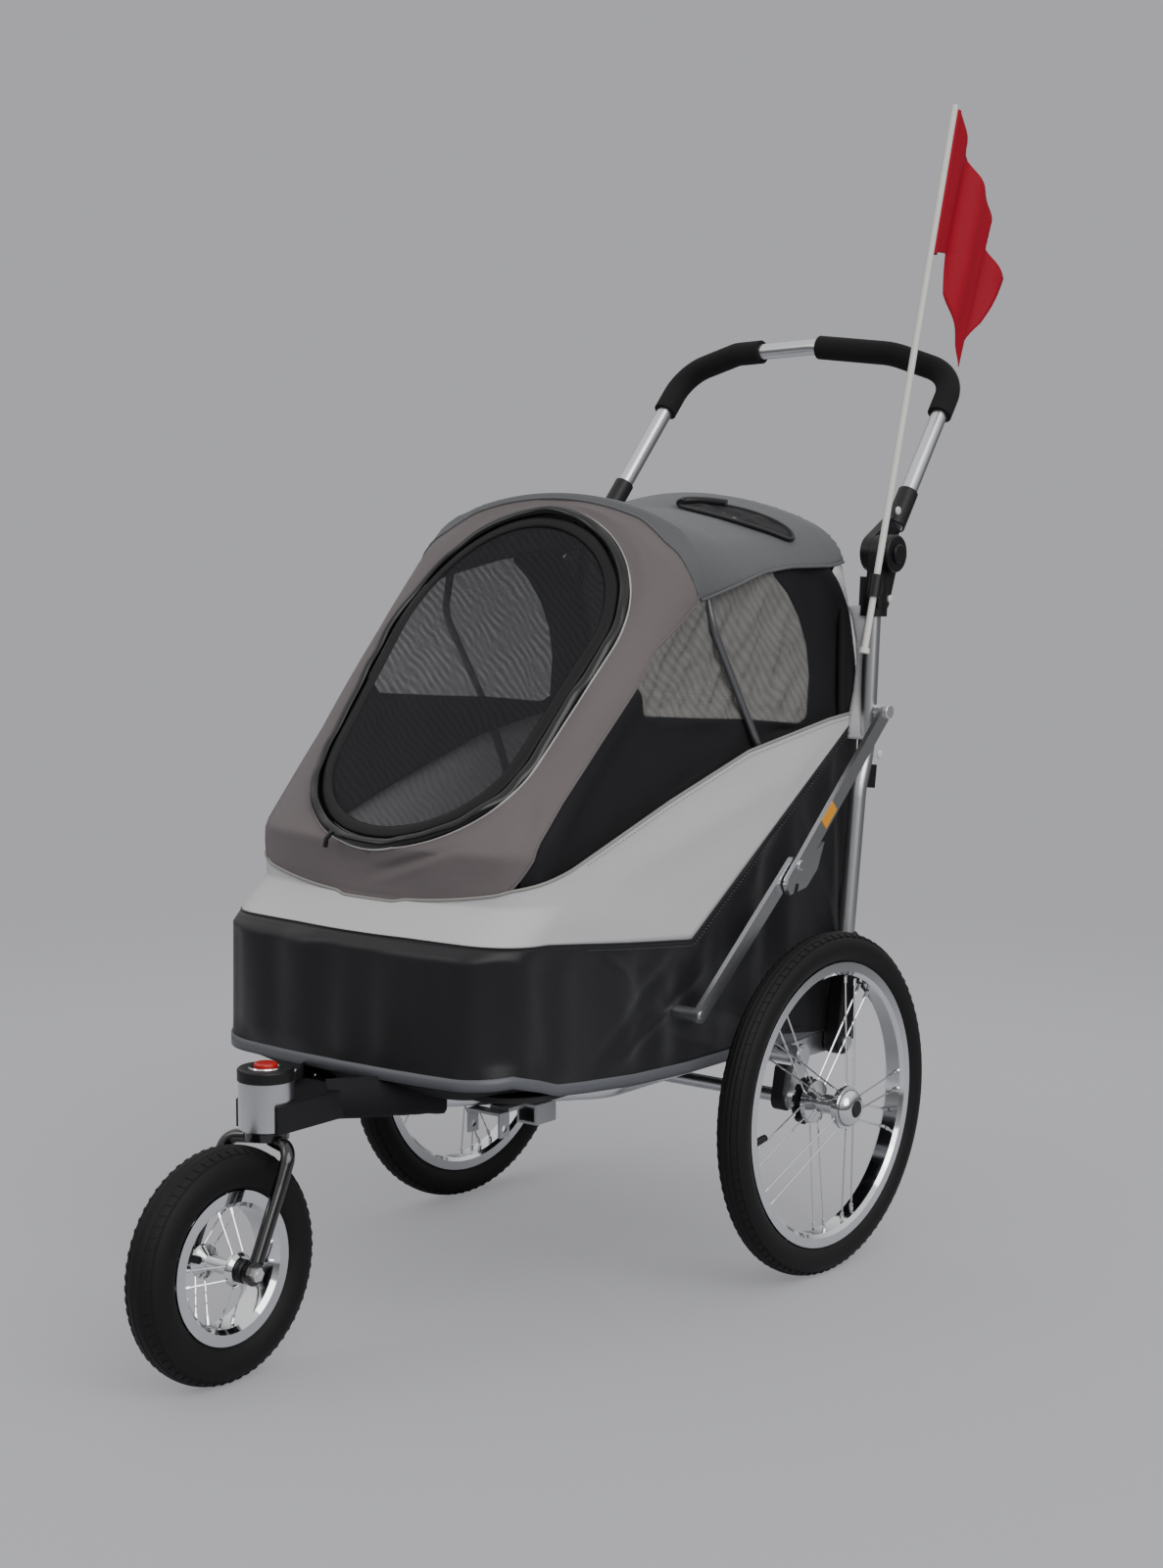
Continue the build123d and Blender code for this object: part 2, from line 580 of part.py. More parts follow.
export_step(rails.part, "parts/rails.step")

ARM_X = CABIN_HALF + EASE
ARM_T = UPRIGHT_X - 12.0 - EASE - ARM_X
with BuildPart() as axle_beam:
    with Locations(Plane(origin=at(0, REAR_CROSS_Y, REAR_CROSS_Z), z_dir=(1, 0, 0))):
        Cylinder(RAIL_D / 2, 2 * CROSS_HALF)
    with Locations(Plane(origin=at(0, 0, REAR_WHEEL_R), z_dir=(1, 0, 0))):
        Cylinder(AXLE_TUBE_D / 2, 2 * AXLE_TUBE_HALF)
    for hand in (-1, 1):
        with BuildSketch(side(hand * BRACKET_X)):
            with Locations((0, REAR_WHEEL_R)):
                Circle(14.0)
            with Locations((REAR_CROSS_Y, REAR_CROSS_Z)):
                Circle(14.0)
            make_hull()
        extrude(amount=hand * BRACKET_T)
        with BuildSketch(side(hand * ARM_X)):
            with Locations(FOLD_PIVOT):
                Circle(13.0)
            with Locations((REAR_CROSS_Y, REAR_CROSS_Z)):
                Circle(10.0)
            make_hull()
        extrude(amount=hand * ARM_T)
        with BuildSketch(side(hand * ARM_X)):
            with Locations(FOLD_PIVOT):
                Circle(PIVOT_PIN_D / 2)
        extrude(amount=hand * ARM_T, mode=Mode.SUBTRACT)
        with BuildSketch(side(hand * (AXLE_TUBE_HALF - 34.0))):
            with Locations((0, REAR_WHEEL_R)):
                Circle(AXLE_PIN_D / 2)
        extrude(amount=hand * 34.0, mode=Mode.SUBTRACT)
axle_beam.part.label = "axle_beam"
export_step(axle_beam.part, "parts/axle_beam.step")

HOUSING_X = ARM_X + ARM_T + 1.0
HOUSING_W = BRACKET_X - HOUSING_X
cable_bar = bent_bar([at(HOUSING_X + 7, 5, REAR_WHEEL_R + 26), at(HOUSING_X + 7, 38, 227),
                      at(HOUSING_X - 6, 62, 228), at(150, 84, 251), at(118, 96, 262)],
                     (12.0, 9.0, 18.0), 5.0)
with BuildPart() as brake_housings:
    with BuildSketch(side(HOUSING_X)):
        with Locations((-5, REAR_WHEEL_R - 2)):
            Circle(13.0)
        with Locations((-4, REAR_WHEEL_R + 32)):
            Circle(7.0)
        with Locations((11, REAR_WHEEL_R + 4)):
            Circle(9.0)
        make_hull()
        with Locations((0, REAR_WHEEL_R)):
            Circle(AXLE_TUBE_D / 2, mode=Mode.SUBTRACT)
        with Locations((REAR_CROSS_Y, REAR_CROSS_Z)):
            Circle(RAIL_D / 2 + 1.0, mode=Mode.SUBTRACT)
    extrude(amount=HOUSING_W)
    add(cable_bar)
    mirror(about=Plane.YZ)
brake_housings.part.label = "brake_housings"
export_step(brake_housings.part, "parts/brake_housings.step")

FOLD_BOLT_END = UPRIGHT_X + 12.0 + 2.0
with BuildPart() as fold_bolts:
    with BuildSketch(side(ARM_X)):
        with Locations(FOLD_PIVOT):
            Circle(PIVOT_PIN_D / 2)
    extrude(amount=FOLD_BOLT_END - ARM_X)
    with BuildSketch(side(UPRIGHT_X + 12.0 + EASE)):
        with Locations(FOLD_PIVOT):
            Circle(8.0)
    extrude(amount=4.0)
    fillet(fold_bolts.edges().group_by(Axis.X)[-1], 1.2)
    mirror(about=Plane.YZ)
fold_bolts.part.label = "fold_bolts"
export_step(fold_bolts.part, "parts/fold_bolts.step")


# ---------------------------------------------------------------- tow hitch
TOW_WALL = 3.0
TOW_SOCKET_L = 34.0
TOW_SOCKET_H = TOW_BAR - 5.0
TOW_SOCKET_Z = RAIL_Z - RAIL_D / 2 - TOW_SOCKET_H / 2
TOW_PIN_Z = RAIL_Z - 28.5
with BuildPart() as tow_hitch:
    with Locations(at(TOW_X + 14.0, TOW_SOCKET_Y, TOW_SOCKET_Z)):
        Box(TOW_BAR + 2 * TOW_WALL, TOW_SOCKET_L, TOW_SOCKET_H + 2 * TOW_WALL)
        with Locations((0, -TOW_WALL, 0)):
            Box(TOW_BAR, TOW_SOCKET_L, TOW_SOCKET_H, mode=Mode.SUBTRACT)
    with Locations(at(TOW_X - 10.0, TOW_Y, TOW_PIN_Z + 4.0)):
        Box(46.0, 16.0, 27.0)
        with Locations((0, 0, -TOW_WALL)):
            Box(46.0 - 2 * TOW_WALL, 16.0, 27.0, mode=Mode.SUBTRACT)
    with Locations(Plane(origin=at(TOW_X - 10.0, TOW_Y, TOW_PIN_Z), z_dir=(1, 0, 0))):
        Cylinder(TOW_PIN_R, 60.0, mode=Mode.SUBTRACT)
    with Locations(at(TOW_X + 2.0, (TOW_Y + TOW_SOCKET_Y) / 2, TOW_PIN_Z + 19.5)):
        Box(26.0, TOW_SOCKET_Y - TOW_Y - 9.0, 4.0)
    add(rail_socket, mode=Mode.SUBTRACT)
tow_hitch.part.label = "tow_hitch"
export_step(tow_hitch.part, "parts/tow_hitch.step")


# ---------------------------------------------------------------- rear frame
upright_bar = bent_bar([at(UPRIGHT_X, FOLD_PIVOT[0] + 2.4, FOLD_PIVOT[1] + 18.0),
                        at(UPRIGHT_X, *UPRIGHT_KNEE_LOW), at(UPRIGHT_X, *UPRIGHT_KNEE_HIGH),
                        at(UPRIGHT_X, *UPRIGHT_TOP)], (90.0, 90.0), UPRIGHT_D)
with BuildPart() as uprights:
    add(upright_bar)
    with BuildSketch(side(UPRIGHT_X - UPRIGHT_D / 2)):
        with Locations(LINK_HIGH_PIVOT):
            Circle(PIVOT_PIN_D / 2)
    extrude(amount=UPRIGHT_D, mode=Mode.SUBTRACT)
    mirror(about=Plane.YZ)
uprights.part.label = "uprights"
export_step(uprights.part, "parts/uprights.step")

with BuildPart() as upright_fittings:
    with BuildSketch(side(UPRIGHT_X - 12.0)):
        with Locations(FOLD_PIVOT):
            Circle(15.0)
        with Locations((123.5, 368.0)):
            Circle(12.0)
        make_hull()
    extrude(amount=24.0)
    fillet(upright_fittings.edges().filter_by(GeomType.LINE).filter_by(Axis.X, reverse=True), 5.0)
    with BuildSketch(side(UPRIGHT_X - 7.0)):
        with Locations((UPRIGHT_KNEE_LOW[0] + 15.0, UPRIGHT_KNEE_LOW[1] + 12.0)):
            Rectangle(26.0, 28.0, rotation=-8)
    extrude(amount=14.0)
    add(upright_bar, mode=Mode.SUBTRACT)
    with BuildSketch(side(UPRIGHT_X - 12.0)):
        with Locations(FOLD_PIVOT):
            Circle(PIVOT_PIN_D / 2 + FIT)
    extrude(amount=24.0, mode=Mode.SUBTRACT)
    mirror(about=Plane.YZ)
upright_fittings.part.label = "upright_fittings"
export_step(upright_fittings.part, "parts/upright_fittings.step")


# ---------------------------------------------------------------- folding links
with BuildPart() as lower_link:
    with BuildSketch(side(LOWER_LINK_X)):
        with Locations(LINK_LOW_PIVOT, LINK_MID_PIVOT):
            Circle(LINK_W / 2)
        make_hull()
    extrude(amount=LINK_T)
    with BuildSketch(side(LOWER_LINK_X)):
        with Locations(LINK_LOW_PIVOT):
            Circle(STUD_D / 2 + FIT)
        with Locations(LINK_MID_PIVOT):
            Circle(PIVOT_PIN_D / 2)
    extrude(amount=LINK_T, mode=Mode.SUBTRACT)
save_pair(lower_link, "lower_link")

HOOK_TIP = (-36.0, 461.0)
with BuildPart() as upper_link:
    with BuildSketch(side(UPPER_LINK_X)):
        with Locations(HOOK_TIP, LINK_HIGH_PIVOT):
            Circle(LINK_W / 2)
        make_hull()
    extrude(amount=LINK_T)
    with BuildSketch(side(UPPER_LINK_X)):
        Polygon((-47, 460), (-40, 447), (-6, 452), (16, 470), (30, 500), (-20, 480), align=None)
    extrude(amount=LINK_T)
    with BuildSketch(side(UPPER_LINK_X)):
        with Locations(LINK_HIGH_PIVOT):
            Circle(PIVOT_PIN_D / 2 + FIT)
        with Locations((-29.0, 449.0)):
            SlotOverall(22.0, 7.0, rotation=65)
    extrude(amount=LINK_T, mode=Mode.SUBTRACT)
    with BuildSketch(side(UPPER_LINK_X + LINK_T)):
        with Locations(LINK_MID_PIVOT):
            Circle(6.0)
    extrude(amount=2.5)
    fillet(upper_link.edges().group_by(Axis.X)[-1], 1.5)
save_pair(upper_link, "upper_link")



# ---------------------------------------------------------------- handle
LEG = Vector(*at(HANDLE_X, *LEG_TOP)) - Vector(*at(HANDLE_FOOT_X, *LEG_FOOT))


def on_leg(share, hand=1):
    """The point at a share of the way up the handle's leg."""
    point = Vector(*at(HANDLE_FOOT_X, *LEG_FOOT)) + LEG * share
    return (hand * point.X, point.Y, point.Z)


def bar_point(x, hand=1):
    """The point at x on the handle's cross bar, between its shoulder and its middle."""
    share = x / BAR_SHOULDER_X
    return at(hand * x, BAR_TOP[0] + share * (BAR_SHOULDER[0] - BAR_TOP[0]),
              BAR_TOP[1] + share * (BAR_SHOULDER[1] - BAR_TOP[1]))


def half_bar(hand, inner_x):
    """Corners of one side of the handle, from its leg to the cross bar."""
    return [at(hand * HANDLE_X, *LEG_TOP), bar_point(BAR_SHOULDER_X, hand),
            bar_point(inner_x, hand)]


CORNER_R = 45.0
SHOULDER_R = 120.0
GRIP_SHARE = 0.735
left_corners = half_bar(1, 0)
right_corners = half_bar(-1, 0)
handle_bar = bent_bar([on_leg(0)] + left_corners + right_corners[-2::-1] + [on_leg(0, -1)],
                      (CORNER_R, SHOULDER_R, 100.0, SHOULDER_R, CORNER_R), HANDLE_D)
with BuildPart() as handle_tube:
    add(handle_bar)
handle_tube.part.label = "handle_tube"
export_step(handle_tube.part, "parts/handle_tube.step")

near_grip = bent_bar([on_leg(GRIP_SHARE)] + half_bar(1, GRIP_NEAR_END_X),
                     (CORNER_R, SHOULDER_R), GRIP_D)
far_grip = bent_bar([on_leg(GRIP_SHARE, -1)] + half_bar(-1, -GRIP_FAR_END_X),
                    (CORNER_R, 40.0), GRIP_D)
with BuildPart() as handle_grips:
    add(near_grip)
    add(far_grip)
    add(handle_bar, mode=Mode.SUBTRACT)
handle_grips.part.label = "handle_grips"
export_step(handle_grips.part, "parts/handle_grips.step")

SLEEVE_R = HANDLE_D / 2 + 2.4
SLEEVE_L = 52.0
ARM_INNER_X = CABIN_HALF + 4.0
HINGE_PIN_R = 4.0
with BuildPart() as joint_uppers:
    with BuildSketch(side(ARM_INNER_X)):
        with Locations(HINGE_AXIS):
            Circle(HINGE_DISC_R)
        with Locations((LEG_FOOT[0] + 5.0, LEG_FOOT[1] + 6.0)):
            Circle(11.0)
        make_hull()
    extrude(amount=HINGE_SPLIT_X - ARM_INNER_X)
    with Locations(Plane(origin=on_leg(0), z_dir=LEG)):
        Cylinder(SLEEVE_R, SLEEVE_L, align=(Align.CENTER, Align.CENTER, Align.MIN))
    add(handle_bar, mode=Mode.SUBTRACT)
    with BuildSketch(side(ARM_INNER_X)):
        with Locations(HINGE_AXIS):
            Circle(HINGE_PIN_R + FIT)
    extrude(amount=2 * HINGE_DISC_R, mode=Mode.SUBTRACT)
    mirror(about=Plane.YZ)
joint_uppers.part.label = "joint_uppers"
export_step(joint_uppers.part, "parts/joint_uppers.step")

CHEEK_X = HINGE_SPLIT_X + EASE
CHEEK_END = UPRIGHT_X + 14.0
KNOB_END = CHEEK_END + 11.0
RISE = Vector(0, UPRIGHT_TOP[0] - UPRIGHT_KNEE_HIGH[0], UPRIGHT_TOP[1] - UPRIGHT_KNEE_HIGH[1])
SLEEVE_FOOT = Vector(*at(UPRIGHT_X, *UPRIGHT_TOP)) - RISE.normalized() * 26.0
POLE = Vector(0, FLAG_POLE_HIGH[0] - FLAG_POLE_LOW[0], FLAG_POLE_HIGH[1] - FLAG_POLE_LOW[1])
HOLDER_Y = (FLAG_POLE_LOW[0] + (FLAG_HOLDER_Z - FLAG_POLE_LOW[1])
            * (FLAG_POLE_HIGH[0] - FLAG_POLE_LOW[0]) / (FLAG_POLE_HIGH[1] - FLAG_POLE_LOW[1]))
with BuildPart() as joint_lowers:
    with BuildSketch(side(CHEEK_X)):
        with Locations(HINGE_AXIS):
            Circle(HINGE_DISC_R)
        with Locations((UPRIGHT_TOP[0] - 1.0, UPRIGHT_TOP[1] - 6.0)):
            Circle(15.0)
        make_hull()
    extrude(amount=CHEEK_END - CHEEK_X)
    with Locations(Plane(origin=SLEEVE_FOOT, z_dir=RISE)):
        Cylinder(17.0, 46.0, align=(Align.CENTER, Align.CENTER, Align.MIN))
    add(upright_bar, mode=Mode.SUBTRACT)
    with BuildSketch(side(CHEEK_END)):
        with Locations(HINGE_AXIS):
            Circle(HINGE_DISC_R + 0.5)
    extrude(amount=KNOB_END - CHEEK_END)
    fillet(joint_lowers.edges().group_by(Axis.X)[-1], 3.0)
    with BuildSketch(side(KNOB_END)):
        with Locations(HINGE_AXIS):
            Circle(KNOB_R + FIT)
    extrude(amount=-8.0, mode=Mode.SUBTRACT)
    with BuildSketch(side(CHEEK_X)):
        with Locations(HINGE_AXIS):
            Circle(HINGE_PIN_R)
    extrude(amount=CHEEK_END - CHEEK_X, mode=Mode.SUBTRACT)
    mirror(about=Plane.YZ)
    with Locations(Plane(origin=at(FLAG_X, HOLDER_Y, FLAG_HOLDER_Z), z_dir=POLE)):
        Cylinder(FLAG_POLE_D / 2 + 4.0, 26.0)
    with BuildSketch(Plane.XY.offset(FLAG_HOLDER_Z - 11.0)):
        with Locations(at(FLAG_X, HOLDER_Y, 0)[:2]):
            Circle(5.0)
        with Locations(at(UPRIGHT_X + 6.0, UPRIGHT_TOP[0] - 4.0, 0)[:2]):
            Circle(9.0)
        make_hull()
    extrude(amount=14.0)
    with Locations(Plane(origin=at(FLAG_X, HOLDER_Y, FLAG_HOLDER_Z), z_dir=POLE)):
        Cylinder(FLAG_POLE_D / 2 + FIT, 40.0, mode=Mode.SUBTRACT)
    add(upright_bar, mode=Mode.SUBTRACT)
joint_lowers.part.label = "joint_lowers"
export_step(joint_lowers.part, "parts/joint_lowers.step")

with BuildPart() as joint_button:
    with BuildSketch(side(KNOB_END - 8.0 + KNOB_TRAVEL + EASE)):
        with Locations(HINGE_AXIS):
            Circle(KNOB_R)
    extrude(amount=8.0 - EASE)
    fillet(joint_button.edges().group_by(Axis.X)[-1], 2.0)
save_pair(joint_button, "joint_button")

with BuildPart() as link_bolt:
    with BuildSketch(side(UPRIGHT_X - UPRIGHT_D / 2 - 2.0)):
        with Locations(LINK_HIGH_PIVOT):
            Circle(PIVOT_PIN_D / 2)
    extrude(amount=UPPER_LINK_X + LINK_T + 3.0 - (UPRIGHT_X - UPRIGHT_D / 2 - 2.0))
    with BuildSketch(side(UPRIGHT_X + UPRIGHT_D / 2)):
        with Locations(LINK_HIGH_PIVOT):
            Circle(7.0)
    extrude(amount=UPPER_LINK_X - EASE - (UPRIGHT_X + UPRIGHT_D / 2))
    with BuildSketch(side(UPPER_LINK_X + LINK_T + EASE)):
        with Locations(LINK_HIGH_PIVOT):
            Circle(8.5)
    extrude(amount=3.2)
    fillet(link_bolt.edges().group_by(Axis.X)[-1], 1.4)
    with BuildSketch(side(UPRIGHT_X - UPRIGHT_D / 2)):
        with Locations(LINK_HIGH_PIVOT):
            Circle(7.0)
    extrude(amount=-2.0)
    add(upright_bar, mode=Mode.SUBTRACT)
    with BuildSketch(side(UPRIGHT_X - UPRIGHT_D / 2 - 2.0)):
        with Locations(LINK_HIGH_PIVOT):
            Circle(PIVOT_PIN_D / 2)
    extrude(amount=2 * UPRIGHT_D)

PIN_X = ARM_INNER_X - EASE
with BuildPart() as pivot_bolts:
    with BuildSketch(side(PIN_X)):
        with Locations(HINGE_AXIS):
            Circle(HINGE_PIN_R)
    extrude(amount=CHEEK_END - PIN_X)
    with BuildSketch(side(PIN_X)):
        with Locations(HINGE_AXIS):
            Circle(7.0)
    extrude(amount=-2.5)
    add(link_bolt.part)
    mirror(about=Plane.YZ)
pivot_bolts.part.label = "pivot_bolts"
export_step(pivot_bolts.part, "parts/pivot_bolts.step")

# ---------------------------------------------------------------- flag
with BuildPart() as flag_pole:
    with Locations(Plane(origin=at(FLAG_X, *FLAG_POLE_LOW), z_dir=POLE)):
        Cylinder(FLAG_POLE_D / 2, POLE.length, align=(Align.CENTER, Align.CENTER, Align.MIN))
        Cylinder(FLAG_POLE_D / 2 + 2.0, 6.0, align=(Align.CENTER, Align.CENTER, Align.MIN))
flag_pole.part.label = "flag_pole"
export_step(flag_pole.part, "parts/flag_pole.step")

with BuildPart() as flag_cloth:
    with BuildSketch(side(FLAG_X - 0.6)):
        Polygon((279, 1344), (230, 1177), (266, 1179), (261, 1131), (294, 1045),
                (FLAG_REAR, 1154), (299, 1327), align=None)
    extrude(amount=1.2)
    with Locations(Plane(origin=at(FLAG_X, *FLAG_POLE_HIGH), z_dir=-POLE)):
        Cylinder(FLAG_POLE_D / 2 + 1.5, 180.0, align=(Align.CENTER, Align.CENTER, Align.MIN))
    add(flag_pole.part, mode=Mode.SUBTRACT)
flag_cloth.part.label = "flag_cloth"
export_step(flag_cloth.part, "parts/flag_cloth.step")

# ---------------------------------------------------------------- parking brake
PEDAL_W = 34.0
with BuildPart() as brake_pedal:
    with BuildSketch(side(PEDAL_X - PEDAL_W / 2)):
        with Locations((0, REAR_WHEEL_R)):
            Circle(AXLE_TUBE_D / 2 + 4.5)
        with Locations((52, REAR_WHEEL_R - 12)):
            Circle(4.0)
        make_hull()
        with Locations((0, REAR_WHEEL_R)):
            Circle(AXLE_TUBE_D / 2 + FIT, mode=Mode.SUBTRACT)
    extrude(amount=PEDAL_W)
    with BuildSketch(side(PEDAL_X - 0.8 * PEDAL_W)):
        with Locations((48, REAR_WHEEL_R - 9), (78, REAR_WHEEL_R - 14)):
            Circle(5.0)
        make_hull()
    extrude(amount=1.6 * PEDAL_W)
brake_pedal.part.label = "brake_pedal"
export_step(brake_pedal.part, "parts/brake_pedal.step")

# ---------------------------------------------------------------- cabin shell
# Plan levels: height, front middle, how far the front corners lie behind it, rear.
LEVELS = ((228.0, -528.0, 14.0, 187.0), (432.0, -524.0, 14.0, 187.0),
          (480.0, -478.0, 30.0, 188.0), (535.0, -482.0, 38.0, 188.0),
          (655.0, -372.0, 44.0, 190.0), (815.0, -225.0, 50.0, 152.0),
          (912.0, -137.0, 50.0, 143.0))
# Roof crown: station and height.
CROWNS = ((-545.0, 905.0), (-165.0, 905.0), (-60.0, 882.0), (20.0, 879.0), (120.0, 893.0),
          (195.0, 885.0))


def cabin_form(inset):
    """Solid inside the cabin's outer surface, held in by the inset."""
    half = CABIN_HALF - inset
    wide = half + SIDE_SHAVE
    with BuildPart() as body:
        for height, front, sagitta, rear in LEVELS:
            nose, tail = front + 1.4 * inset, rear - inset
            corner = nose + sagitta
            with BuildSketch(Plane.XY.offset(height)) as level:
                with BuildLine():
                    ThreePointArc(at(wide, corner, 0)[:2], at(0, nose, 0)[:2],
                                  at(-wide, corner, 0)[:2])
                    Polyline(at(-wide, corner, 0)[:2], at(-wide, tail, 0)[:2],
                             at(wide, tail, 0)[:2], at(wide, corner, 0)[:2])
                make_face()
                fillet(level.vertices().group_by(Axis.Y)[0], FRONT_CORNER_R - inset)
                fillet(level.vertices().group_by(Axis.Y)[-1], REAR_CORNER_R - inset)
        loft(ruled=True)
    floor = LEVELS[0][0] - 5.0
    with BuildPart() as arch:
        for station, crown in CROWNS:
            plane = Plane(origin=at(0, station, 0), x_dir=(1, 0, 0), z_dir=(0, -1, 0))
            drop = ROOF_R - sqrt(ROOF_R**2 - CABIN_HALF**2)
            with BuildSketch(plane) as section:
                with BuildLine():
                    ThreePointArc((-half, crown - inset - drop), (0, crown - inset),
                                  (half, crown - inset - drop))
                    Polyline((half, crown - inset - drop), (half, floor), (-half, floor),
                             (-half, crown - inset - drop))
                make_face()
                fillet(section.vertices().group_by(Axis.Y)[-1], ROOF_SHOULDER_R - inset)
        loft(ruled=True)
    with BuildPart() as form:
        add(body.part)
        add(arch.part, mode=Mode.INTERSECT)
    return form.part


HEM_LOW = ((-545, 296), (-480, 300), (-440, 289), (-410, 279), (-358, 273), (-271, 265), (-179, 261),
           (8, 260), (187, 237), (205, 237))
TUB_TOP = ((-545, 435), (-425, 441), (-288, 423), (-169, 409), (165, 632), (205, 632))
HEM_HIGH = ((-545, 480), (-450, 490), (-385, 516), (-211, 570), (-60, 611), (106, 633),
            (168, 637.4), (205, 640))
SEAM = ((-430, 498), (-319, 697), (-187, 793), (-160, 860), (-140, 930))
SEAM_HALF = 172.0
ROOF_EDGE = ((-187, 793), (-74, 809), (-25, 821), (86, 815), (150, 812), (205, 812))
STRIP = ((168, 637.4), (172, 666), (166, 737), (150, 812))
WINDOW_FRAME = 12.0
DOOR_BORDER = 16.0

lining_form = cabin_form(CLOTH + EASE)
with BuildPart() as skin:
    add(cabin_form(0))
    add(cabin_form(CLOTH), mode=Mode.SUBTRACT)


def shell_piece(outline, middle=None):
    """The cabin's skin inside a side-view outline, joined between the front seams by a second."""
    with BuildPart() as piece:
        with BuildSketch(side(-CABIN_HALF - 10.0)):
            Polygon(*outline, align=None)
        extrude(amount=2 * CABIN_HALF + 20.0)
        if middle:
            with BuildSketch(side(-SEAM_HALF)):
                Polygon(*middle, align=None)
            extrude(amount=2 * SEAM_HALF)
        add(skin.part, mode=Mode.INTERSECT)
    return piece.part


def between(lower, upper):
    """Closed side-view outline between a lower and an upper line."""
    return list(lower) + list(upper)[::-1]


slope = Plane(origin=at(0, *SLOPE_FOOT), x_dir=(1, 0, 0),
              z_dir=(0, SLOPE_FOOT[1] - SLOPE_TOP[1], SLOPE_TOP[0] - SLOPE_FOOT[0]))


def window_block(outset):
    """Solid through the front slope in the shape of the window, grown by the outset."""
    with BuildPart() as block:
        with BuildSketch(slope.offset(-80.0)):
            with Locations((0, WINDOW_FOOT + WINDOW_LOW_R)):
                Circle(WINDOW_LOW_R + outset)
            with Locations((0, WINDOW_FOOT + WINDOW_LOW_R + WINDOW_PITCH)):
                Circle(WINDOW_HIGH_R + outset)
            make_hull()
        extrude(amount=160.0)
    return block.part


with BuildPart() as stud_holes:
    with BuildSketch(side(-CABIN_HALF - 10.0)):
        with Locations(LINK_LOW_PIVOT):
            Circle(STUD_D / 2 + EASE)
    extrude(amount=2 * CABIN_HALF + 20.0)

tub_skin = shell_piece(between(HEM_LOW, TUB_TOP))
with BuildPart() as tub:
    add(tub_skin)
    add(stud_holes.part, mode=Mode.SUBTRACT)
tub.part.label = "tub"
export_step(tub.part, "parts/tub.step")

band_skin = shell_piece(between(TUB_TOP, HEM_HIGH))
with BuildPart() as white_band:
    add(band_skin)
white_band.part.label = "white_band"
export_step(white_band.part, "parts/white_band.step")

front_skin = shell_piece([(-600, 480), (-545, 480), (-450, 490), *SEAM, (-600, 930)],
                         [(-600, 480), (-545, 480), (-450, 490), (-385, 516), (-200, 600),
                          *SEAM[2:], (-600, 930)])
with BuildPart() as front_panel:
    add(front_skin)
    add(window_block(WINDOW_FRAME), mode=Mode.SUBTRACT)
front_panel.part.label = "front_panel"
export_step(front_panel.part, "parts/front_panel.step")

with BuildPart() as window_frame:
    add(front_skin)
    add(window_block(WINDOW_FRAME), mode=Mode.INTERSECT)
    add(window_block(0), mode=Mode.SUBTRACT)
window_frame.part.label = "window_frame"
export_step(window_frame.part, "parts/window_frame.step")

with BuildPart() as door_border:
    add(front_skin)
    add(window_block(-DOOR_GAP), mode=Mode.INTERSECT)
    add(window_block(-DOOR_GAP - DOOR_BORDER), mode=Mode.SUBTRACT)
door_border.part.label = "door_border"
export_step(door_border.part, "parts/door_border.step")

with BuildPart() as door_mesh:
    add(front_skin)
    add(window_block(-DOOR_GAP - DOOR_BORDER), mode=Mode.INTERSECT)
door_mesh.part.label = "door_mesh"
export_step(door_mesh.part, "parts/door_mesh.step")

roof_skin = shell_piece([*ROOF_EDGE, (205, 930), *SEAM[:2:-1]])
with BuildPart() as roof_panel:
    add(roof_skin)
roof_panel.part.label = "roof_panel"
export_step(roof_panel.part, "parts/roof_panel.step")

rear_skin = shell_piece([*STRIP, (205, 812), (205, 640)])
with BuildPart() as rear_panel:
    add(rear_skin)
rear_panel.part.label = "rear_panel"
export_step(rear_panel.part, "parts/rear_panel.step")

# Corners of one half of each hoop, from the floor board to the crown.
FRONT_HOOP = (at(HOOP_X, 114, RAIL_TOP + FLOOR_T - 2.0), at(HOOP_X, -32, 613),
              at(HOOP_X, -122, 752), at(177, -126, 838), at(88, -134, 874), at(0, -138, 884))
REAR_HOOP = (at(HOOP_X, 140, RAIL_TOP + FLOOR_T - 2.0), at(HOOP_X, 140, 770),
             at(180, 125, 828), at(95, 122, 868), at(0, 122, 876))
CROWN_BEND_R = 400.0


def hoop_bar(half, radii, diameter):
    """Hoop across the cabin, from the corners and bend radii of its left half."""
    other = [(-x, y, z) for x, y, z in half[-2::-1]]
    return bent_bar([*half, *other], (*radii, CROWN_BEND_R, *radii[::-1]), diameter)


front_hoop_room = hoop_bar(FRONT_HOOP, (150.0, 60.0, 60.0, 90.0), HOOP_D + 2 * EASE)
rear_hoop_room = hoop_bar(REAR_HOOP, (60.0, 50.0, 120.0), HOOP_D + 2 * EASE)
with BuildPart() as side_panels:
    with BuildSketch(side(SIDE_X - CLOTH)):
        Polygon((-412, 500), (-300, 690), (-196, 775), (-180, 806), (-74, 822), (-25, 832),
                (86, 828), (150, 824), (170, 740), (176, 666), (172, 625), (-60, 603),
                (-211, 562), (-385, 508), align=None)
    extrude(amount=CLOTH)
    add(lining_form, mode=Mode.INTERSECT)
    add(front_hoop_room, mode=Mode.SUBTRACT)
    add(rear_hoop_room, mode=Mode.SUBTRACT)
    mirror(about=Plane.YZ)
side_panels.part.label = "side_panels"
export_step(side_panels.part, "parts/side_panels.step")

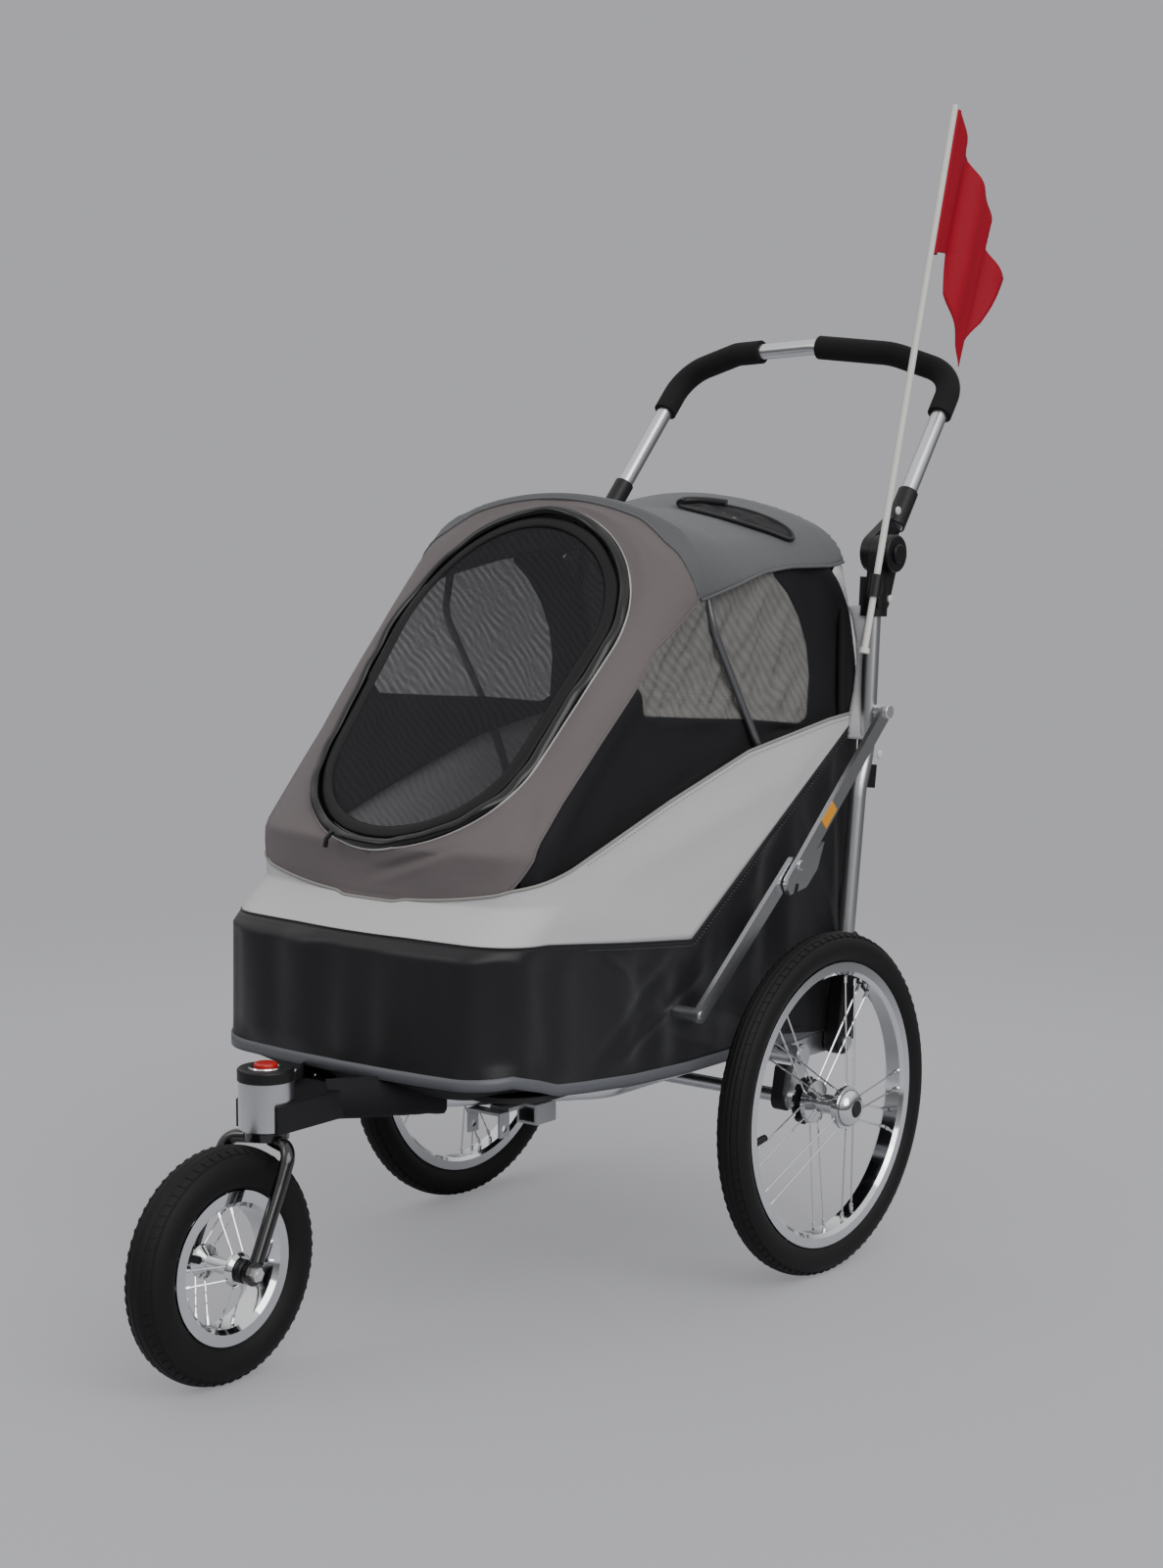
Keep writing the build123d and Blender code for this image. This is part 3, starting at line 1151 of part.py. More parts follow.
# ---------------------------------------------------------------- cabin inside
FLOOR_HALF = CABIN_HALF - CLOTH - 1.0
FLOOR_TOP = RAIL_TOP + FLOOR_T
with BuildPart() as floor_board:
    with BuildSketch(Plane.XY.offset(RAIL_TOP)) as board:
        with Locations(at(0, -143.0, 0)[:2]):
            RectangleRounded(2 * FLOOR_HALF, 650.0, 60.0)
    extrude(amount=FLOOR_T)
    add(rail_socket, mode=Mode.SUBTRACT)
    add(mirror(rail_socket, about=Plane.YZ, mode=Mode.PRIVATE), mode=Mode.SUBTRACT)
    with BuildSketch(side(RAIL_X - RAIL_D)):
        with Locations((LINK_LOW_PIVOT[0], RAIL_TOP)):
            Rectangle(52.0, 4 * FLOOR_T)
    extrude(amount=2 * RAIL_D, mode=Mode.SUBTRACT)
    with BuildSketch(side(-RAIL_X + RAIL_D)):
        with Locations((LINK_LOW_PIVOT[0], RAIL_TOP)):
            Rectangle(52.0, 4 * FLOOR_T)
    extrude(amount=-2 * RAIL_D, mode=Mode.SUBTRACT)
floor_board.part.label = "floor_board"
export_step(floor_board.part, "parts/floor_board.step")

CUSHION_HALF = HOOP_X - HOOP_D / 2 - 6.0
with BuildPart() as cushion:
    with BuildSketch(Plane.XY.offset(FLOOR_TOP + EASE)):
        with Locations(at(0, -142.0, 0)[:2]):
            RectangleRounded(2 * CUSHION_HALF, 610.0, 60.0)
    extrude(amount=40.0)
    fillet(cushion.edges().group_by(Axis.Z)[-1], 14.0)
    with Locations(Plane(origin=at(0, LINK_LOW_PIVOT[0], FLOOR_TOP), z_dir=(0, 0, 1))):
        with GridLocations(2 * (LINK_PLATE_X - 1.0), 0, 2, 1):
            Box(18.0, 60.0, 120.0, mode=Mode.SUBTRACT)
cushion.part.label = "cushion"
export_step(cushion.part, "parts/cushion.step")

front_hoop_bar = hoop_bar(FRONT_HOOP, (150.0, 60.0, 60.0, 90.0), HOOP_D)
with BuildPart() as front_hoop:
    add(front_hoop_bar)
    add(floor_board.part, mode=Mode.SUBTRACT)
front_hoop.part.label = "front_hoop"
export_step(front_hoop.part, "parts/front_hoop.step")

rear_hoop_bar = hoop_bar(REAR_HOOP, (60.0, 50.0, 120.0), HOOP_D)
with BuildPart() as rear_hoop:
    add(rear_hoop_bar)
    add(floor_board.part, mode=Mode.SUBTRACT)
rear_hoop.part.label = "rear_hoop"
export_step(rear_hoop.part, "parts/rear_hoop.step")
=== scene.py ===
"""Looks of a folding pet stroller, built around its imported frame, in metres.

The stroller rolls towards -Y, its left side is +X and +Z is up. Stations along Y are
counted from the rear axle and heights from the floor; at() turns them into the frame.
"""

import logging
import math
from dataclasses import dataclass, field
from enum import Enum
from typing import Callable, Iterable, Optional, Sequence

import bmesh
import bpy
from mathutils import Matrix, Vector, noise
from mathutils.bvhtree import BVHTree


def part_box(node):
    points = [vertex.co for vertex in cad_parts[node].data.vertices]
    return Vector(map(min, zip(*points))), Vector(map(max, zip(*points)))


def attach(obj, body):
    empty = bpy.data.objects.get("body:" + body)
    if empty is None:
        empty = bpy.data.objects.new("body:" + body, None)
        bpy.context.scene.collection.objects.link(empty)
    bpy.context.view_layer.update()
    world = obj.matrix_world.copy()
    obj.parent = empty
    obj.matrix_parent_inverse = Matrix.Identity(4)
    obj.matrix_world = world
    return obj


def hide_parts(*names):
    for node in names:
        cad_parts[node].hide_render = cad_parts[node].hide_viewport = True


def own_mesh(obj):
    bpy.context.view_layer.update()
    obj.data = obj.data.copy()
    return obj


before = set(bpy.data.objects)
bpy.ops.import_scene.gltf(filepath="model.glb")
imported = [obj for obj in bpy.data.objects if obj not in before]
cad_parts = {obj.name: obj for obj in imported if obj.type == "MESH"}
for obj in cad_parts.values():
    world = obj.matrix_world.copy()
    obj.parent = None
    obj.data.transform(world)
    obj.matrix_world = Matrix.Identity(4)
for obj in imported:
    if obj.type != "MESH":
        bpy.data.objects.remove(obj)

LOG = logging.getLogger("stroller")
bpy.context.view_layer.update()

Point = Sequence[float]
Line2 = Sequence[tuple[float, float]]


def middle_of(node: str) -> Vector:
    """Returns the middle of a CAD node's box."""
    low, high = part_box(node)
    return (Vector(low) + Vector(high)) / 2


AXLE_Y = middle_of("axle_pins").y
CABIN_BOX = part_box("tub")
CABIN_HALF = CABIN_BOX[1][0]
HEART_STATION = -0.15
CABIN_HEART = Vector((0, AXLE_Y + HEART_STATION, 0.55))
RAIL_INSET = 0.018
RAIL_HEIGHT = 0.262
RAIL_RADIUS = 0.0113
LINK_FACE = 0.2491
SIDES = ((1, "left"), (-1, "right"))


def at(x: float, y: float, z: float) -> Vector:
    """Returns the point at x, station y and height z."""
    return Vector((x, AXLE_Y + y, z))


# ------------------------------------------------------------------ finishes
class Pattern(Enum):
    """Surface pattern of a finish."""

    PLAIN = "plain"
    WEAVE = "weave"
    BRUSHED = "brushed"
    MOULDED = "moulded"
    FOAM = "foam"
    NET = "net"


@dataclass(frozen=True)
class Finish:
    """What a piece is made of and how its surface was made."""

    name: str
    colour: str
    slot: str
    roughness: float = 0.5
    metallic: float = 0.0
    pattern: Pattern = Pattern.PLAIN
    pitch: float = 0.002
    relief: float = 0.1
    mottle: float = 0.04
    coat: float = 0.0
    sheen: float = 0.0
    alpha: float = 1.0
    specular: float = 0.5

    def material(self) -> bpy.types.Material:
        """Returns the finish's material, built once."""
        return bpy.data.materials.get(self.name) or build_material(self)


def linear(colour: str) -> tuple[float, float, float, float]:
    """Turns an sRGB hex colour into the linear values that shaders take.

    Args:
        colour: Six hex digits after a hash.

    Returns:
        Linear red, green, blue and an alpha of one.
    """
    parts = [int(colour[i:i + 2], 16) / 255 for i in (1, 3, 5)]
    red, green, blue = (
        v / 12.92 if v <= 0.04045 else ((v + 0.055) / 1.055) ** 2.4 for v in parts
    )
    return (red, green, blue, 1.0)


def add_node(
    tree: bpy.types.NodeTree,
    kind: str,
    settings: Optional[dict] = None,
    inputs: Optional[dict] = None,
) -> bpy.types.Node:
    """Adds a node with its settings, values and links.

    Args:
        tree: The tree that gets the node.
        kind: The node's type name.
        settings: Attributes of the node.
        inputs: Input name or number to a value, or to a socket to link from.

    Returns:
        The new node.
    """
    node = tree.nodes.new(kind)
    for key, value in (settings or {}).items():
        setattr(node, key, value)
    for key, value in (inputs or {}).items():
        if isinstance(value, bpy.types.NodeSocket):
            tree.links.new(value, node.inputs[key])
        else:
            node.inputs[key].default_value = value
    return node


def pattern_height(tree: bpy.types.NodeTree, finish: Finish) -> bpy.types.NodeSocket:
    """Adds the nodes of a finish's relief and returns its height socket."""
    where = add_node(tree, "ShaderNodeTexCoord").outputs["Object"]
    turns = 1 / finish.pitch
    if finish.pattern is Pattern.WEAVE:
        threads = [
            add_node(
                tree,
                "ShaderNodeTexWave",
                {"bands_direction": way},
                {"Vector": where, "Scale": turns / 20, "Distortion": 0.4},
            ).outputs["Fac"]
            for way in ("DIAGONAL", "Z")
        ]
        return add_node(
            tree, "ShaderNodeMath", {"operation": "MULTIPLY"}, {0: threads[0], 1: threads[1]}
        ).outputs[0]
    if finish.pattern is Pattern.NET:
        return add_node(
            tree,
            "ShaderNodeTexWave",
            {"bands_direction": "DIAGONAL"},
            {"Vector": where, "Scale": turns / 20, "Distortion": 9.0, "Detail": 2.0,
             "Detail Scale": 0.35},
        ).outputs["Fac"]
    if finish.pattern is Pattern.BRUSHED:
        stretched = add_node(
            tree, "ShaderNodeMapping", {}, {"Vector": where, "Scale": (1.0, 0.08, 1.0)}
        ).outputs[0]
        return add_node(
            tree, "ShaderNodeTexNoise", {}, {"Vector": stretched, "Scale": turns, "Detail": 2.0}
        ).outputs["Fac"]
    if finish.pattern is Pattern.FOAM:
        return add_node(
            tree, "ShaderNodeTexVoronoi", {}, {"Vector": where, "Scale": turns}
        ).outputs["Distance"]
    return add_node(
        tree, "ShaderNodeTexNoise", {}, {"Vector": where, "Scale": turns, "Detail": 3.0}
    ).outputs["Fac"]


def build_material(finish: Finish) -> bpy.types.Material:
    """Builds a finish's node material.

    Args:
        finish: The finish to build.

    Returns:
        The material, named after the finish.
    """
    material = bpy.data.materials.new(finish.name)
    material.use_nodes = True
    tree = material.node_tree
    tree.nodes.clear()
    height = pattern_height(tree, finish)
    where = add_node(tree, "ShaderNodeTexCoord").outputs["Object"]
    clouds = add_node(
        tree, "ShaderNodeTexNoise", {}, {"Vector": where, "Scale": 9.0, "Detail": 4.0}
    ).outputs["Fac"]
    base = linear(finish.colour)
    dark = [v * (1 - 2 * finish.mottle) for v in base[:3]] + [1.0]
    light = [min(1.0, v * (1 + finish.mottle)) for v in base[:3]] + [1.0]
    net = finish.pattern is Pattern.NET
    tint = add_node(
        tree, "ShaderNodeMix", {"data_type": "RGBA"},
        {0: height if net else clouds, 6: dark, 7: light}
    ).outputs[2]
    veil = finish.alpha
    if net:
        # The ripples of the double net, where its holes line up and part again.
        veil = add_node(
            tree, "ShaderNodeMapRange", {},
            {"Value": height, "To Min": finish.alpha + 0.07, "To Max": finish.alpha - 0.07}
        ).outputs[0]
    shader = add_node(
        tree,
        "ShaderNodeBsdfPrincipled",
        {},
        {
            "Base Color": tint,
            "Roughness": finish.roughness,
            "Metallic": finish.metallic,
            "Coat Weight": finish.coat,
            "Coat Roughness": 0.15,
            "Sheen Weight": finish.sheen,
            "Alpha": veil,
            "Specular IOR Level": finish.specular,
        },
    )
    if finish.pattern is not Pattern.PLAIN:
        bump = add_node(
            tree,
            "ShaderNodeBump",
            {},
            {"Height": height, "Strength": finish.relief, "Distance": finish.pitch / 3},
        )
        tree.links.new(bump.outputs[0], shader.inputs["Normal"])
    add_node(tree, "ShaderNodeOutputMaterial", {}, {"Surface": shader.outputs[0]})
    return material


# Satin anodised aluminium tube: soft streaked highlights along the tube.
SATIN_TUBE = Finish("anodised_aluminium", "#D0D1D4", "tube_silver", 0.3, 1.0,
                    Pattern.BRUSHED, 0.0006, 0.08)
# Stamped and galvanised steel strip: duller and a little mottled.
ZINC = Finish("zinc_plated_steel", "#B7B9BB", "zinc_steel", 0.4, 1.0,
              Pattern.MOULDED, 0.004, 0.1, 0.08)
# Polished chrome plate: near mirror.
CHROME = Finish("chrome_plate", "#DCDDDF", "chrome", 0.08, 1.0)
BRIGHT = Finish("bright_steel", "#C8C8C8", "bright_steel", 0.2, 1.0)
# Black stove enamel on the fork: wet gloss.
ENAMEL = Finish("black_enamel", "#09090B", "gloss_black", 0.18, 0.0, coat=0.6)
# Glass filled nylon mouldings: fine grain, low sheen.
NYLON = Finish("moulded_nylon", "#121214", "black_plastic", 0.42, 0.0,
               Pattern.MOULDED, 0.0009, 0.12, specular=0.35)
RED_CAP = Finish("red_abs", "#B01A16", "red_plastic", 0.3, 0.0, coat=0.3, specular=0.3)
AMBER = Finish("amber_reflector", "#DB9424", "red_plastic", 0.25, 0.0, coat=0.5)
WHITE_CAP = Finish("white_nylon", "#CFCFCE", "flag_white", 0.4)
# Vulcanised tyre rubber: dull with a faint bloom.
TYRE = Finish("tyre_rubber", "#121213", "tyre_black", 0.6, 0.0, Pattern.MOULDED, 0.0015, 0.15,
              specular=0.22)
# Closed cell foam grip: tiny pores.
FOAM = Finish("foam_grip", "#161618", "grip_foam", 0.85, 0.0, Pattern.FOAM, 0.0012, 0.35,
              specular=0.3)
# Coated polyester, the threads drawn twice as coarse as real so that they show.
TUB_CLOTH = Finish("black_polyester", "#17171A", "black_cloth", 0.42, 0.0,
                   Pattern.WEAVE, 0.0016, 0.12, 0.08, sheen=0.08, specular=0.3)
# The same black cloth for the inner walls, with a lighter base colour: painted sheen, standing in
# for the soft streaky sheen on the walls, with little real gloss.
PAINTED_SHEEN_WALL_CLOTH = Finish("black_polyester_painted_sheen", "#212123", "black_cloth", 0.8, 0.0,
                    Pattern.WEAVE, 0.0016, 0.2, 0.1, specular=0.15)
PALE_CLOTH = Finish("pale_polyester", "#BDBCBE", "pale_cloth", 0.65, 0.0,
                    Pattern.WEAVE, 0.0016, 0.12, 0.02, sheen=0.1, specular=0.25)
WARM_CLOTH = Finish("warm_grey_polyester", "#665F60", "grey_cloth", 0.75, 0.0,
                    Pattern.WEAVE, 0.0016, 0.2, 0.05, sheen=0.1, specular=0.2)
COOL_CLOTH = Finish("cool_grey_polyester", "#58595B", "grey_cloth", 0.7, 0.0,
                    Pattern.WEAVE, 0.0016, 0.2, 0.05, sheen=0.1, specular=0.25)
PIPING = Finish("grey_piping", "#8B8986", "grey_cloth", 0.7, 0.0, Pattern.WEAVE, 0.001, 0.1)
HEM_TAPE = Finish("reflective_tape", "#55575C", "grey_cloth", 0.45, 0.0,
                  Pattern.WEAVE, 0.001, 0.1)
# Taped waterproof zip: glossy coating over the teeth.
ZIP_TAPE = Finish("coated_zip", "#070709", "black_trim", 0.3, 0.0, coat=0.15, specular=0.4)
DOOR_EDGE = Finish("door_webbing", "#0F0F11", "black_trim", 0.55, 0.0, Pattern.WEAVE, 0.0012, 0.2,
                   specular=0.25)
# Knitted polyester net, drawn as a veil with faint ripples, because its holes are finer than
# they show.
DOOR_NET = Finish("door_net", "#3F3F43", "mesh", 0.8, 0.0, Pattern.NET, 0.0010, 0.3,
                  0.08, alpha=0.26, specular=0.1)
SIDE_NET = Finish("side_net", "#8A8886", "mesh", 0.8, 0.0, Pattern.NET, 0.0012, 0.6,
                  0.12, alpha=0.53, specular=0.1)
VENT_NET = Finish("vent_net", "#2A2A2C", "mesh", 0.7, 0.0, Pattern.WEAVE, 0.003, 0.8,
                  0.2, specular=0.2)
PALE_PIPING = Finish("pale_piping", "#A5A3A1", "grey_cloth", 0.6, 0.0, Pattern.WEAVE, 0.001, 0.1)
FLAG_CLOTH = Finish("flag_nylon", "#9E1128", "flag_red", 0.6, 0.0, Pattern.WEAVE, 0.0012, 0.1,
                    specular=0.15)
FLAG_ROD = Finish("fibreglass_rod", "#D6D5CF", "flag_white", 0.4)
HOOP = Finish("grey_hoop_tube", "#6C6C6E", "hoop_grey", 0.36, 0.7)
BOARD = Finish("ribbed_board", "#1D1D1F", "board", 0.7)
CUSHION_CLOTH = Finish("cushion_fleece", "#3B3B3D", "cushion_cloth", 0.9, 0.0,
                       Pattern.WEAVE, 0.003, 0.3, sheen=0.3)


# ------------------------------------------------------------------ making meshes
def finish_piece(
    piece: bpy.types.Object, finish: Finish, body: str, replaces: Iterable[str] = ()
) -> bpy.types.Object:
    """Gives a piece its finish and its place in the frame.

    Args:
        piece: The finished mesh object.
        finish: Its finish.
        body: The CAD body that it rides on.
        replaces: CAD nodes that it stands for.

    Returns:
        The same piece.
    """
    piece.data.materials.clear()
    piece.data.materials.append(finish.material())
    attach(piece, body)
    nodes = list(replaces)
    if nodes:
        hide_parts(*nodes)
    LOG.info("%s: %d faces on %s", piece.name, len(piece.data.polygons), body)
    return piece


def mesh_object(name: str, bm: bmesh.types.BMesh, crease: float = 40.0) -> bpy.types.Object:
    """Turns a bmesh into a linked object that is smooth up to a crease angle.

    Args:
        name: The object's name.
        bm: Its mesh, freed here.
        crease: Angle between faces above which an edge stays sharp, in degrees.

    Returns:
        The new object.
    """
    mesh = bpy.data.meshes.new(name)
    limit = math.radians(crease)
    for face in bm.faces:
        face.smooth = True
    for edge in bm.edges:
        if len(edge.link_faces) == 2:
            edge.smooth = edge.calc_face_angle(0.0) < limit
    bm.to_mesh(mesh)
    bm.free()
    piece = bpy.data.objects.new(name, mesh)
    bpy.context.scene.collection.objects.link(piece)
    return piece


def copy_of(node: str) -> bmesh.types.BMesh:
    """Returns a merged copy of a CAD node's mesh."""
    bm = bmesh.new()
    bm.from_mesh(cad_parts[node].data)
    bmesh.ops.remove_doubles(bm, verts=bm.verts, dist=1e-5)
    return bm


def smooth_copy(node: str, finish: Finish, body: str) -> bpy.types.Object:
    """Shows a CAD node with smooth shading on its round faces."""
    piece = mesh_object(f"{node}_smooth", copy_of(node), 32.0)
    return finish_piece(piece, finish, body, [node])


def lathe(
    name: str, profile: Line2, centre: Vector, steps: int, closed: bool = True
) -> bmesh.types.BMesh:
    """Turns a profile round the X axis through a centre.

    Args:
        name: Used in the log only.
        profile: Offsets along X and radii.
        centre: The centre that the offsets are counted from.
        steps: How many faces go round.
        closed: Whether the profile is a loop.

    Returns:
        The turned mesh with its faces outwards.
    """
    bm = bmesh.new()
    rings = [
        [
            bm.verts.new(centre + Vector((x, r * math.cos(turn), r * math.sin(turn))))
            for x, r in profile
        ]
        for turn in (2 * math.pi * k / steps for k in range(steps))
    ]
    count = len(profile)
    for k in range(steps):
        here, there = rings[k], rings[(k + 1) % steps]
        for i in range(count if closed else count - 1):
            j = (i + 1) % count
            bm.faces.new((here[i], here[j], there[j], there[i]))
    bmesh.ops.remove_doubles(bm, verts=bm.verts, dist=1e-6)
    bmesh.ops.recalc_face_normals(bm, faces=bm.faces)
    LOG.debug("turned %s", name)
    return bm


def new_tree(name: str, inputs: Sequence[tuple[str, str]]) -> bpy.types.NodeTree:
    """Returns an empty geometry tree with a geometry socket each way and named inputs."""
    tree = bpy.data.node_groups.new(name, "GeometryNodeTree")
    tree.interface.new_socket("Geometry", in_out="INPUT", socket_type="NodeSocketGeometry")
    for label, kind in inputs:
        tree.interface.new_socket(label, in_out="INPUT", socket_type=kind)
    tree.interface.new_socket("Geometry", in_out="OUTPUT", socket_type="NodeSocketGeometry")
    return tree


def close_tree(tree: bpy.types.NodeTree, given: bpy.types.Node,
               geometry: bpy.types.NodeSocket) -> None:
    """Ends a geometry tree with its real mesh, smooth shading and material."""
    real = add_node(tree, "GeometryNodeRealizeInstances", {}, {0: geometry})
    smooth = add_node(tree, "GeometryNodeSetShadeSmooth", {}, {"Geometry": real.outputs[0]})
    dressed = add_node(
        tree,
        "GeometryNodeSetMaterial",
        {},
        {"Geometry": smooth.outputs[0], "Material": given.outputs["Material"]},
    )
    add_node(tree, "NodeGroupOutput", {}, {0: dressed.outputs[0]})


def pipe_tree() -> bpy.types.NodeTree:
    """Returns the tree that runs a round bar along the edges of a mesh."""
    name = "RoundBarAlongPath"
    if name in bpy.data.node_groups:
        return bpy.data.node_groups[name]
    tree = new_tree(name, (("Radius", "NodeSocketFloat"), ("Sides", "NodeSocketInt"),
                           ("Material", "NodeSocketMaterial")))
    given = add_node(tree, "NodeGroupInput")
    path = add_node(tree, "GeometryNodeMeshToCurve", {}, {0: given.outputs["Geometry"]})
    ring = add_node(
        tree,
        "GeometryNodeCurvePrimitiveCircle",
        {"mode": "RADIUS"},
        {"Resolution": given.outputs["Sides"], "Radius": given.outputs["Radius"]},
    )
    bar = add_node(
        tree,
        "GeometryNodeCurveToMesh",
        {},
        {"Curve": path.outputs[0], "Profile Curve": ring.outputs[0], "Fill Caps": True},
    )
    close_tree(tree, given, bar.outputs[0])
    return tree


def round_tree() -> bpy.types.NodeTree:
    """Returns the tree that repeats a piece evenly round the X axis."""
    name = "RepeatRoundAxle"
    if name in bpy.data.node_groups:
        return bpy.data.node_groups[name]
    tree = new_tree(name, (("Count", "NodeSocketInt"), ("Centre", "NodeSocketVector"),
                           ("Material", "NodeSocketMaterial")))
    given = add_node(tree, "NodeGroupInput")
    line = add_node(tree, "GeometryNodeMeshLine", {},
                    {"Count": given.outputs["Count"], "Offset": (0, 0, 0)})
    index = add_node(tree, "GeometryNodeInputIndex")
    share = add_node(tree, "ShaderNodeMath", {"operation": "DIVIDE"},
                     {0: index.outputs[0], 1: given.outputs["Count"]})
    turn = add_node(tree, "ShaderNodeMath", {"operation": "MULTIPLY"},
                    {0: share.outputs[0], 1: 2 * math.pi})
    spin = add_node(tree, "ShaderNodeCombineXYZ", {}, {"X": turn.outputs[0]})
    laid = add_node(
        tree,
        "GeometryNodeInstanceOnPoints",
        {},
        {
            "Points": line.outputs[0],
            "Instance": given.outputs["Geometry"],
            "Rotation": spin.outputs[0],
        },
    )
    moved = add_node(
        tree,
        "GeometryNodeTransform",
        {},
        {"Geometry": laid.outputs[0], "Translation": given.outputs["Centre"]},
    )
    close_tree(tree, given, moved.outputs[0])
    return tree


def trail_tree() -> bpy.types.NodeTree:
    """Returns the tree that lays small bars along a path, such as stitches or zip teeth."""
    name = "BarsAlongPath"
    if name in bpy.data.node_groups:
        return bpy.data.node_groups[name]
    tree = new_tree(name, (("Spacing", "NodeSocketFloat"), ("Size", "NodeSocketVector"),
                           ("Material", "NodeSocketMaterial")))
    given = add_node(tree, "NodeGroupInput")
    path = add_node(tree, "GeometryNodeMeshToCurve", {}, {0: given.outputs["Geometry"]})
    points = add_node(tree, "GeometryNodeCurveToPoints", {"mode": "LENGTH"},
                      {"Curve": path.outputs[0], "Length": given.outputs["Spacing"]})
    block = add_node(tree, "GeometryNodeMeshCube", {}, {"Size": given.outputs["Size"]})
    laid = add_node(
        tree,
        "GeometryNodeInstanceOnPoints",
        {},
        {
            "Points": points.outputs["Points"],
            "Instance": block.outputs[0],
            "Rotation": points.outputs["Rotation"],
        },
    )
    close_tree(tree, given, laid.outputs[0])
    return tree


def run_tree(
    name: str, bm: bmesh.types.BMesh, tree: bpy.types.NodeTree, values: dict
) -> bpy.types.Object:
    """Runs a geometry tree on a mesh and returns the plain result.

    Args:
        name: The new piece's name.
        bm: The mesh that the tree starts from, freed here.
        tree: The geometry tree.
        values: Input name to value.

    Returns:
        A plain mesh object.
    """
    seed = mesh_object(f"{name}_seed", bm)
    modifier = seed.modifiers.new("shape", "NODES")
    modifier.node_group = tree
    for item in tree.interface.items_tree:
        if item.in_out == "INPUT" and item.name in values:
            modifier[item.identifier] = values[item.name]
    seed.update_tag()
    graph = bpy.context.evaluated_depsgraph_get()
    mesh = bpy.data.meshes.new_from_object(seed.evaluated_get(graph))
    mesh.name = name
    bpy.data.objects.remove(seed)
    piece = bpy.data.objects.new(name, mesh)
    bpy.context.scene.collection.objects.link(piece)
    return piece


def path_mesh(points: Sequence[Vector], closed: bool = False) -> bmesh.types.BMesh:
    """Returns a mesh of one line of edges through the points."""
    bm = bmesh.new()
    verts = [bm.verts.new(p) for p in points]
    for a, b in zip(verts, verts[1:]):
        bm.edges.new((a, b))
    if closed:
        bm.edges.new((verts[-1], verts[0]))
    return bm


def pipe(
    name: str,
    points: Sequence[Vector],
    radius: float,
    finish: Finish,
    body: str,
    closed: bool = False,
    sides: int = 12,
    replaces: Iterable[str] = (),
) -> bpy.types.Object:
    """Makes a round bar along points and rides it on a body."""
    piece = run_tree(name, path_mesh(points, closed), pipe_tree(),
                     {"Radius": radius, "Sides": sides, "Material": finish.material()})
    return finish_piece(piece, finish, body, replaces)


def trail(
    name: str,
    points: Sequence[Vector],
    spacing: float,
    size: Point,
    finish: Finish,
    body: str,
    closed: bool = False,
) -> bpy.types.Object:
    """Lays small bars along points, such as stitches, and rides them on a body."""
    piece = run_tree(name, path_mesh(points, closed), trail_tree(),
                     {"Spacing": spacing, "Size": size, "Material": finish.material()})
    return finish_piece(piece, finish, body)


